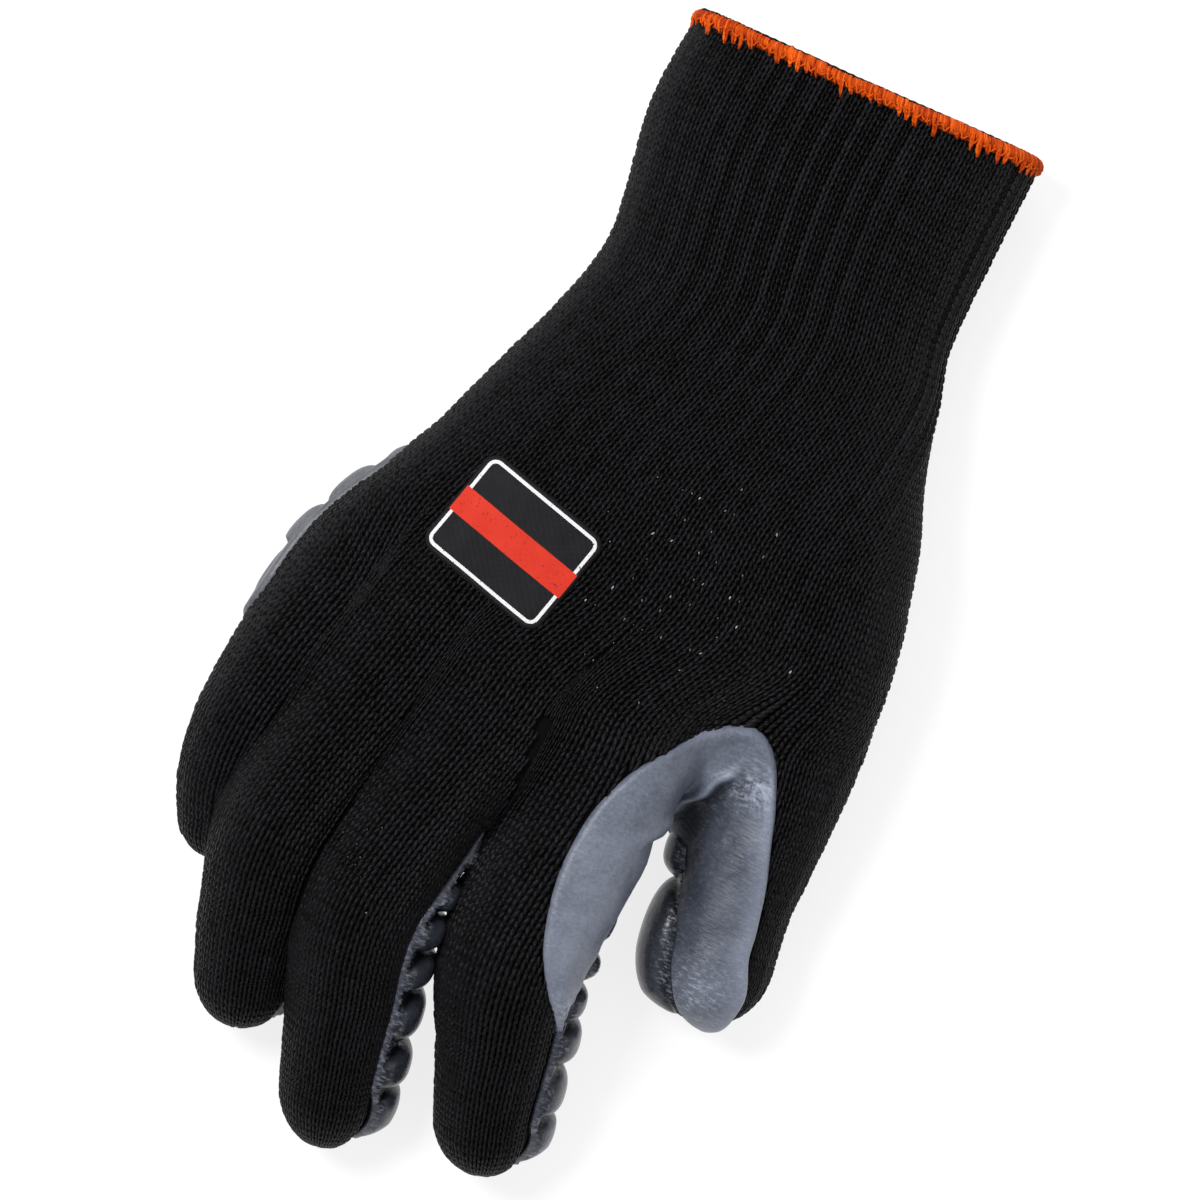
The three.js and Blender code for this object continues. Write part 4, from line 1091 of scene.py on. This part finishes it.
rise = np.clip(np.minimum(vmm, rest_mm) / 1.1, 0, 1) ** 0.5 * np.clip(endmm / 1.0, 0, 1) ** 0.5
bead = 0.35 * np.clip((smm - sk[8]) / 12, 0, 1) * np.exp(-(((vmm - 1.9) / 1.5) ** 2))


def seg_dist(P, a, b):
    a, b = np.array(a), np.array(b)
    d = b - a
    t = np.clip(((P - a) @ d) / (d @ d), 0, 1)
    return np.linalg.norm(P - (a + t[..., None] * d), axis=-1), t


XY = W[..., :2]
A_, B_ = np.array([-39.8, 141.4]), np.array([-29.2, 159.6])
cd = (B_ - A_) / np.linalg.norm(B_ - A_)
cn = np.array([-cd[1], cd[0]])          # towards the thumb
dist_c = (XY - A_) @ cn + 0.35 * np.sin(((XY - A_) @ cd) * 0.9)
run_c = (XY - A_) @ cd / np.linalg.norm(B_ - A_)
part = np.clip((run_c + 0.06) / 0.40, 0, 1) ** 1.3 * np.clip((1.5 - run_c) / 0.3, 0, 1) * (WN[..., 2] > -0.5)
step = np.clip(dist_c / 0.8, 0, 1) * np.exp(-np.maximum(dist_c, 0) / 9.0)
lip = np.exp(-(((dist_c + 0.9) / 0.9) ** 2))
dent = (-1.95 * step + 0.75 * lip) * part


def value_noise(P, scale, seed):
    """Smooth noise over the plane for small folds."""
    g = np.random.default_rng(seed).normal(0, 1, (64, 64))
    u = (P / scale) % 63
    i = np.floor(u).astype(int)
    f = u - i
    f = f * f * (3 - 2 * f)
    i1 = (i + 1) % 64
    return ((g[i[..., 0], i[..., 1]] * (1 - f[..., 0]) + g[i1[..., 0], i[..., 1]] * f[..., 0]) * (1 - f[..., 1])
            + (g[i[..., 0], i1[..., 1]] * (1 - f[..., 0]) + g[i1[..., 0], i1[..., 1]] * f[..., 0]) * f[..., 1])


# crumpled folds beside the crease, fanning to the thumb's knit edge, and at the panel's point on the index finger
fold_at = np.exp(-((((XY[..., 0] + 42.5) / 4.6) ** 2) + (((XY[..., 1] - 146.5) / 4.2) ** 2)))
warp = XY + 1.2 * np.stack([value_noise(XY, 3.1, 1), value_noise(XY, 3.1, 2)], -1)
folds = np.abs(value_noise(warp * [1.0, 2.2], 2.1, 3))
dent += -0.75 * fold_at * (1 - np.clip(folds * 1.4, 0, 1)) + 0.35 * fold_at
tip_at = np.exp(-((((XY[..., 0] + 25.0) / 3.4) ** 2) + (((XY[..., 1] - 206.5) / 4.0) ** 2)))
dent += -0.5 * tip_at * (1 - np.clip(np.abs(value_noise(warp * [2.2, 1.0], 1.7, 5)) * 1.5, 0, 1)) + 0.2 * tip_at
ridge_in = vmm / np.maximum(vmm[:, -1:], 1)
on_index = np.clip((70 - smm) / 12, 0, 1)
dent += on_index * 0.55 * np.exp(-(((ridge_in - 0.42) / 0.20) ** 2))
# short cross wrinkles all over, as in a dipped skin
crimp = value_noise(np.stack([smm * 1.0, vmm * 0.45], -1), 1.3, 11) * 0.030 + value_noise(np.stack([smm * 0.5, vmm], -1), 2.6, 12) * 0.05
dent += crimp
wave = 0.10 * np.sin(smm * 0.55 + 0.8 * np.sin(vmm * 0.35)) * np.clip(vmm / 4, 0, 1)
thick = np.where(smm < sk[9], 0.62 + 0.38 * np.clip(vmm / 6, 0, 1), 1.0)
off = 0.15 + (1.25 * thick + bead + wave) * rise + dent * np.clip(np.minimum(vmm, rest_mm) / 2.0, 0, 1)
P = W + WN * off[..., None]
P[..., 2] = np.maximum(P[..., 2], 0.0)
stride = (nv - 1) // 12
behind = W + WN * np.minimum(off - 1.3, -0.5)[..., None]
inn = behind[:, ::stride]
if (nv - 1) % stride:
    inn = np.concatenate([inn, behind[:, -1:]], 1)
v, f = pad_mesh(P[:, ::-1], 1, inn[:, ::-1])
thumb_side = np.clip((dist_c + 0.3) / 1.2, 0, 1) * (W[..., 0] < -28) * (smm > sk[8])
GROOVE = [(-30.0, 160.5), (-31.5, 163.5), (-36.6, 169.6), (-39.3, 177.0), (-41.6, 185.4), (-42.9, 191.0)]
dg = np.full(XY.shape[:-1], 1e9)
for a, b in zip(GROOVE[:-1], GROOVE[1:]):
    dg = np.minimum(dg, seg_dist(XY, a, b)[0])
# painted shade: the thumb's face of the panel is darkened in a band beside the groove and below the index-side lip,
# where it lies in shade
dark_w = np.interp(W[..., 1], [145, 160, 175, 186, 192], [13.5, 13.0, 11.5, 8.5, 4.5])
painted_shade = np.exp(-((dg / dark_w) ** 1.6)) * thumb_side * np.interp(W[..., 1], [150, 170, 184, 193], [1.0, 0.92, 0.75, 0.3])
painted_shade = np.maximum(painted_shade, thumb_side * 0.8 * np.exp(-((np.maximum(dist_c, 0) / 6.5) ** 1.5)) * np.clip((run_c - 0.05) / 0.25, 0, 1))
# painted highlight: lighter colour along the panel's thumb-side edge, on the lip above the crease and on the crinkles
# at the index point and beside the crease
painted_highlight = 0.50 * np.exp(-((vmm / 3.4) ** 2)) * np.clip((smm - sk[11]) / 6, 0, 1) + 0.30 * np.exp(-(((dist_c + 0.7) / 0.7) ** 2)) * np.clip((run_c - 0.1) / 0.2, 0, 1) * np.clip((1.15 - run_c) / 0.1, 0, 1) * (smm > sk[7]) + 0.8 * tip_at * np.clip(np.abs(value_noise(warp * [2.2, 1.0], 1.3, 6)) * 1.3 - 0.2, 0, 1)
painted_highlight = np.clip(painted_highlight + 0.9 * fold_at * np.clip(np.abs(value_noise(warp * [1.0, 2.2], 1.2, 7)) * 1.5 - 0.6, 0, 1), 0, 1)
# painted shade also in the dents and along the panel's inner edge at the groove
low = np.clip(np.clip(-dent / 2.8, 0, 1) * 0.45 + np.clip(1 - rest_mm / 1.3, 0, 1) * 0.5 + painted_shade * 1.06, 0, 0.97)
thumb_end = np.exp(-((((XY[..., 0] + 50.0) / 5.5) ** 2) + (((XY[..., 1] - 191.0) / 5.0) ** 2)))
# painted glints: pale spots at the thumb's end, the index point and the folds, and thinly over the rest
painted_glint = np.clip(1.0 * thumb_end + 0.9 * tip_at + 0.9 * fold_at + 0.12 * thumb_side * (1 - painted_shade) + 0.35 * painted_highlight + 0.10, 0, 1)
web_ob = make("web_rubber_panel", v, f, material=M_WEB, replaces=["web_panel"],
              attrs={"low": np.concatenate([np.clip(low, 0, 1)[:, ::-1].ravel(), np.zeros(inn.shape[0] * inn.shape[1])]),
                     "rim": np.concatenate([painted_highlight[:, ::-1].ravel(), np.zeros(inn.shape[0] * inn.shape[1])]),
                     "painted_glint": np.concatenate([painted_glint[:, ::-1].ravel(), np.zeros(inn.shape[0] * inn.shape[1])])})


# ------------------------------------------------------------------ overlocked cuff edge
def hem_point(theta, y, off):
    """Point on the cuff's section at an angle, moved outwards by off."""
    a, b, e = 39.6, 15.4, 2.5
    c, s_ = np.cos(theta), np.sin(theta)
    x = a * np.sign(c) * np.abs(c) ** (2 / e)
    z = b * np.sign(s_) * np.abs(s_) ** (2 / e)
    nx = np.sign(c) * np.abs(c) ** (2 - 2 / e) / a
    nz = np.sign(s_) * np.abs(s_) ** (2 - 2 / e) / b
    l = np.sqrt(nx**2 + nz**2) + 1e-12
    return np.stack([-0.6 + x + nx / l * off, y + 0 * x, 15.4 + z + nz / l * off], -1)


fine = np.linspace(0, 2 * np.pi, 4001)
hp = hem_point(fine, 0.0, 0.0)
hs = np.concatenate([[0], np.cumsum(np.linalg.norm(np.diff(hp, axis=0), axis=1))])
PERIM = hs[-1]
theta_at = lambda s_: np.interp(s_ % PERIM, hs, fine)


def tubes(paths, radius, sides=6):
    """paths: n x k x 3 -> swept tubes closed by flat caps at their ends."""
    n, k, _ = paths.shape
    tan = unit(np.gradient(paths, axis=1))
    ref = np.array([0.13, 0.31, 0.94])
    u = unit(np.cross(tan, ref))
    w = np.cross(tan, u)
    ph = np.linspace(0, 2 * np.pi, sides, endpoint=False)
    r = np.broadcast_to(radius, (n, k))
    V = paths[:, :, None] + (u[:, :, None] * np.cos(ph)[None, None, :, None] + w[:, :, None] * np.sin(ph)[None, None, :, None]) * r[:, :, None, None]
    f = grid_faces(k, sides, 0, True)
    F = (f[None] + (np.arange(n) * k * sides)[:, None, None]).reshape(-1, 4)
    caps = np.concatenate([np.arange(n)[:, None] * k * sides + np.arange(sides)[None, ::-1], np.arange(n)[:, None] * k * sides + (k - 1) * sides + np.arange(sides)[None]])
    return V.reshape(-1, 3), F, caps


nst = 400
s0 = np.arange(nst) * PERIM / nst


def hem_level(s_):
    """The cuff's end runs slightly askew."""
    return np.interp(hem_point(theta_at(s_), np.zeros(np.shape(s_)), np.zeros(np.shape(s_)))[..., 0], [-40, -17, 2, 39], [0.15, 1.1, 1.8, 2.2])


tooth = 0.5 + 0.5 * np.cos(2 * np.pi * s0 / (PERIM / 88) + 0.7 * np.sin(s0 * 0.37))
depth = 2.5 + 2.1 * tooth**2.2 * np.clip(rng.normal(0.9, 0.28, nst), 0.2, 1.4) + rng.normal(0, 0.16, nst)
depth = np.clip(depth, 1.9, 5.2)
depth[1::2] = depth[::2]
pair = np.where(np.arange(nst) % 2 == 0, 0.20, -0.20)
level0 = hem_level(s0)
keysp = []
edgewave = 0.12 * np.sin(s0 * 0.35) + rng.normal(0, 0.07, nst)
stray = rng.normal(0, 0.22, nst)
for q, (yy, oo) in enumerate([(None, 0.30), (None, 0.72), (1.7, 0.92), (0.75, 0.72), (0.15, -0.35), (0.40, -1.7), (1.6, -2.45), (3.0, -2.35)]):
    y = depth if q == 0 else depth * 0.62 if q == 1 else np.full(nst, yy) + edgewave * (yy < 0.8)
    slant = {0: 0.95, 1: 0.5, 2: 0.22, 3: 0.0, 4: -0.1, 5: -0.1, 6: 0.1, 7: 0.4}[q]
    keysp.append(hem_point(theta_at(s0 + slant + rng.normal(0, 0.10, nst) + (stray + pair) * (q == 0) - 0.10 * np.sign(pair) * (q == 1)), y + level0, np.full(nst, oo) + rng.normal(0, 0.07, nst)))
cols = np.stack(keysp, 0)
uu = np.linspace(0, 7, 11)
paths = []
for q in uu:
    i = min(int(q), 6)
    fq = q - i
    p0, p1, p2, p3 = (cols[min(max(i + d, 0), 7)] for d in (-1, 0, 1, 2))
    paths.append(0.5 * (2 * p1 + (p2 - p0) * fq + (2 * p0 - 5 * p1 + 4 * p2 - p3) * fq**2 + (3 * p1 - p0 - 3 * p2 + p3) * fq**3))
paths = np.stack(paths, 1)
rad = np.interp(uu, [0, 0.6, 5, 7], [0.22, 0.32, 0.34, 0.26])[None, :] * (1 + rng.normal(0, 0.10, (nst, 1)))
V1, F1, C1 = tubes(paths, rad, 6)
# looper thread that ties the ends of the edge stitches, outside and inside
kk = 1100
sl = np.linspace(0, PERIM, kk)
lvl = hem_level(sl)
dl = np.interp(sl % PERIM, s0, depth)
loop = hem_point(theta_at(sl), lvl + 2.35 + 0.45 * np.sin(sl * 2 * np.pi / 2.2) + 0.2 * np.sin(sl * 4.7), 0.92 + 0.18 * np.cos(sl * 2 * np.pi / 1.1))
loop[-1] = loop[0]
V2, F2, C2 = tubes(loop[None], 0.22, 5)
loop2 = hem_point(theta_at(sl), lvl + 2.9 + 0.4 * np.sin(sl * 2 * np.pi / (PERIM / nst) * 0.5), -2.35 + 0.15 * np.cos(sl * 5.1))
loop2[-1] = loop2[0]
V3, F3, C3 = tubes(loop2[None], 0.26, 5)
# thread bed under them, a closed ring round the raw edge
prof = [(2.2, 0.25), (1.4, 0.42), (0.5, 0.40), (-0.1, 0.0), (-0.25, -0.9), (-0.1, -1.7), (0.6, -2.0), (2.4, -1.95), (2.5, -1.0)]
nb = 360
lb0 = hem_level(np.arange(nb) * PERIM / nb)
bed = np.stack([hem_point(theta_at(np.arange(nb) * PERIM / nb), np.full(nb, a) + 0.7 + lb0, np.full(nb, b)) for a, b in prof], 1)
fb = []
for i in range(len(prof)):
    a = np.arange(nb) * len(prof) + i
    b = np.arange(nb) * len(prof) + (i + 1) % len(prof)
    a2, b2 = (a + len(prof)) % (nb * len(prof)), (b + len(prof)) % (nb * len(prof))
    fb.append(np.stack([a, b, b2, a2], -1))
fb = np.vstack(fb)
VB = bed.reshape(-1, 3)
o1, o2, o3 = len(V1), len(V1) + len(V2), len(V1) + len(V2) + len(V3)
VH = np.vstack([V1, V2, V3, VB])
VH[:, 2] = np.maximum(VH[:, 2], 0.02)
# painted shade: the thread bed under the edge stitches takes the dark end of the thread colour, where it shows between
# them
tint = np.concatenate([np.repeat(rng.normal(0.08, 0.22, nst), len(V1) // nst), np.full(len(V2), 0.15), np.full(len(V3), 0.0), np.full(len(VB), -0.40)])
lay = np.concatenate([np.tile(np.repeat(uu * 1.5, 6) + np.tile(np.arange(6) / 6, len(uu)), nst), np.repeat(sl * 1.2, 5), np.repeat(sl * 1.2, 5), np.zeros(len(VB))])
hem_ob = make("cuff_overlock", VH, [F1, C1, F2 + o1, C2 + o1, F3 + o2, C3 + o2, fb + o3], material=M_HEM, replaces=["cuff_hem"],
              attrs={"tint": tint, "lay": lay})

# painted shade: a dark thread along the very end stands in for the shaded far side of the hem
edge_line = hem_point(theta_at(sl), lvl - 0.02 + 0.06 * np.sin(sl * 3.1), -0.62 + 0.1 * np.sin(sl * 1.7))
edge_line[-1] = edge_line[0]
VE, FE, CE = tubes(edge_line[None], 0.24, 6)
VE[:, 2] = np.maximum(VE[:, 2], 0.02)
make("edge_shade_thread", VE, [FE, CE], material=M_YARN, attrs={"tint": np.zeros(len(VE)), "lay": np.repeat(sl * 1.1, 6)})

# ------------------------------------------------------------------ plain patch on the back of the hand
LX, LY, LTURN = 26.2, 121.4, math.radians(-14)
na, nb2 = 110, 90
la, lb = np.linspace(-15.5, 15.5, na), np.linspace(-12.5, 12.5, nb2)
A, B = np.meshgrid(la, lb, indexing="ij")


def round_square(x, y, hx, hy, r):
    """Maps a square grid into a rounded rectangle by pulling its corners in."""
    qx, qy = np.abs(x) - (hx - r), np.abs(y) - (hy - r)
    corner = (qx > 0) & (qy > 0)
    m = np.maximum(qx, qy)
    l = np.sqrt(qx**2 + qy**2)
    k = np.where(corner & (l > 1e-6), m / np.maximum(l, 1e-6), 1.0)
    return np.where(corner, np.sign(x) * (hx - r + qx * k), x), np.where(corner, np.sign(y) * (hy - r + qy * k), y)


A2, B2 = round_square(A, B, 15.5, 12.5, 3.2)
X = LX + A2 * math.cos(LTURN) - B2 * math.sin(LTURN)
Y = LY + A2 * math.sin(LTURN) + B2 * math.cos(LTURN)
L = top_of(X, Y)
LN = unit(gradient(L, 0.5))
edge = np.minimum(15.5 - np.abs(A), 12.5 - np.abs(B))
knitbump = 0.05 * np.sin(A * 2 * np.pi / 1.85) * np.sin(B * 2 * np.pi / 1.5)
offl = 0.30 + 0.62 * np.clip(edge / 0.5, 0, 1) ** 0.5 + knitbump
PL = L + LN * offl[..., None]
IL = (L - LN * 0.1)[:, ::11]
if IL.shape[1] * 11 < nb2 + 10:
    IL = np.concatenate([IL, (L - LN * 0.1)[:, -1:]], 1)
v, f = pad_mesh(PL[:, ::-1], 1, IL[:, ::-1])
pad0 = np.zeros(IL.shape[0] * IL.shape[1])
k = Mat("patch_print")
ax_, bx_ = (k.node("ShaderNodeAttribute", attribute_name=n_) for n_ in ("pa", "pb"))


def box_dist(hx, hy):
    """Distance in from a rectangle's edge, in millimetres."""
    dx = k.math("SUBTRACT", k.math("ABSOLUTE", ax_.outputs["Fac"]), value=hx)
    dy = k.math("SUBTRACT", k.math("ABSOLUTE", bx_.outputs["Fac"]), value=hy)
    return k.math("MAXIMUM", dx, dy)


d1 = box_dist(15.5, 12.5)
ring_in = k.math("GREATER_THAN", d1, value=-1.85)
ring_out = k.math("LESS_THAN", d1, value=-1.1)
border = k.math("MULTIPLY", ring_in, ring_out)
band = k.math("LESS_THAN", k.math("ABSOLUTE", bx_.outputs["Fac"]), value=3.1)
inner_field = k.math("LESS_THAN", d1, value=-0.7)
band = k.math("MULTIPLY", band, inner_field)
wear = k.noise(1500, 4.0, 0.7)
worn = k.math("GREATER_THAN", wear.outputs["Fac"], value=0.36)
field_col = k.mix(k.noise(300).outputs["Fac"], (0.004, 0.004, 0.005), (0.014, 0.014, 0.016))
c1 = k.mix(k.math("MULTIPLY", border, worn), field_col, (0.70, 0.70, 0.70))
red = k.mix(k.noise(220).outputs["Fac"], (0.50, 0.020, 0.010), (0.66, 0.045, 0.022))
c2 = k.mix(k.math("MULTIPLY", band, worn), c1, red)
k.t.links.new(c2, k.p.inputs["Base Color"])
k.p.inputs["Roughness"].default_value = 0.6
k.p.inputs["Specular IOR Level"].default_value = 0.10
bb = k.bump(wear.outputs["Fac"], 0.3, 0.0002)
k.link(bb, "Normal", k.p, "Normal")
label_ob = make("plain_patch", v, f, material=k.m, replaces=["label"],
                attrs={"pa": np.concatenate([A[:, ::-1].ravel(), pad0]), "pb": np.concatenate([B[:, ::-1].ravel(), pad0])})

# ------------------------------------------------------------------ floor, light, camera
floor_me = bpy.data.meshes.new("floor")
S_ = 2.2
floor_me.from_pydata([(-S_, -S_, -0.0004), (S_, -S_, -0.0004), (S_, S_, -0.0004), (-S_, S_, -0.0004)], [], [(0, 1, 2, 3)])
floor = bpy.data.objects.new("floor", floor_me)
bpy.context.scene.collection.objects.link(floor)
floor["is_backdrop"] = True
fm = Mat("floor_white")
fn = fm.ramp(fm.noise(3, 2), "Fac", [(0.0, (0.24, 0.24, 0.24)), (1.0, (0.27, 0.27, 0.27))])
fm.link(fn, "Color", fm.p, "Base Color")
fm.p.inputs["Emission Color"].default_value = (1, 1, 1, 1)
fm.p.inputs["Emission Strength"].default_value = 0.80
fm.p.inputs["Roughness"].default_value = 0.9
fm.p.inputs["Specular IOR Level"].default_value = 0.1
floor_me.materials.append(fm.m)

world = bpy.data.worlds.new("studio")
bpy.context.scene.world = world
world.use_nodes = True
world.node_tree.nodes["Background"].inputs[0].default_value = (1, 1, 1, 1)
world.node_tree.nodes["Background"].inputs[1].default_value = 0.42

RIGHT = np.array([-0.9026, -0.4305, 0.0])   # the picture's right and up on the floor
UP = np.array([0.4305, -0.9026, 0.0])
TARGET = (np.array([4.3, 125.1, 14.0]) + SHIFT) / 1000.0


def area(name, offset, size, power, colour=(1, 1, 1)):
    """A soft light: offset is (picture right, picture up, height) in metres from the middle of the glove."""
    d = bpy.data.lights.new(name, "AREA")
    d.shape, d.size, d.energy, d.color = "DISK", size, power, colour
    o = bpy.data.objects.new(name, d)
    bpy.context.scene.collection.objects.link(o)
    pos = TARGET + RIGHT * offset[0] + UP * offset[1] + np.array([0, 0, offset[2]])
    o.location = Vector(pos)
    o.rotation_mode = "QUATERNION"
    o.rotation_quaternion = Vector(TARGET - pos).to_track_quat("-Z", "Y")
    return o


area("key", (-0.50, 0.42, 1.15), 0.42, 13.0)
area("fill", (0.9, -0.2, 1.0), 0.9, 2.0)
area("top", (0.1, 0.9, 0.8), 0.6, 3.0)

cam_data = bpy.data.cameras.new("camera")
cam = bpy.data.objects.new("camera", cam_data)
bpy.context.scene.collection.objects.link(cam)
bpy.context.scene.camera = cam
DIST = 1.5
tilt = math.radians(1.5)
back = np.array([0, 0, 1.0]) * math.cos(tilt) + UP * math.sin(tilt)
cam_pos = TARGET + back * DIST
cam.location = Vector(cam_pos)
zc = back
yc = UP - zc * (UP @ zc)
yc = yc / np.linalg.norm(yc)
xc = np.cross(yc, zc)
cam.matrix_world = Matrix(((xc[0], yc[0], zc[0], cam_pos[0]), (xc[1], yc[1], zc[1], cam_pos[1]), (xc[2], yc[2], zc[2], cam_pos[2]), (0, 0, 0, 1)))
cam_data.sensor_width = 36
cam_data.lens = 36 * DIST / 0.2565
cam_data.clip_start, cam_data.clip_end = 0.05, 20
bpy.context.scene.view_settings.view_transform = "Standard"
bpy.context.scene.view_settings.exposure = 0.0

bpy.context.view_layer.update()
dg = bpy.context.evaluated_depsgraph_get()
total = 0
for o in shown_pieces():
    me = o.evaluated_get(dg).data
    me.calc_loop_triangles()
    n = len(me.loop_triangles)
    total += n
    print("TRIS", o.name, n)
print("TRIS total", total)
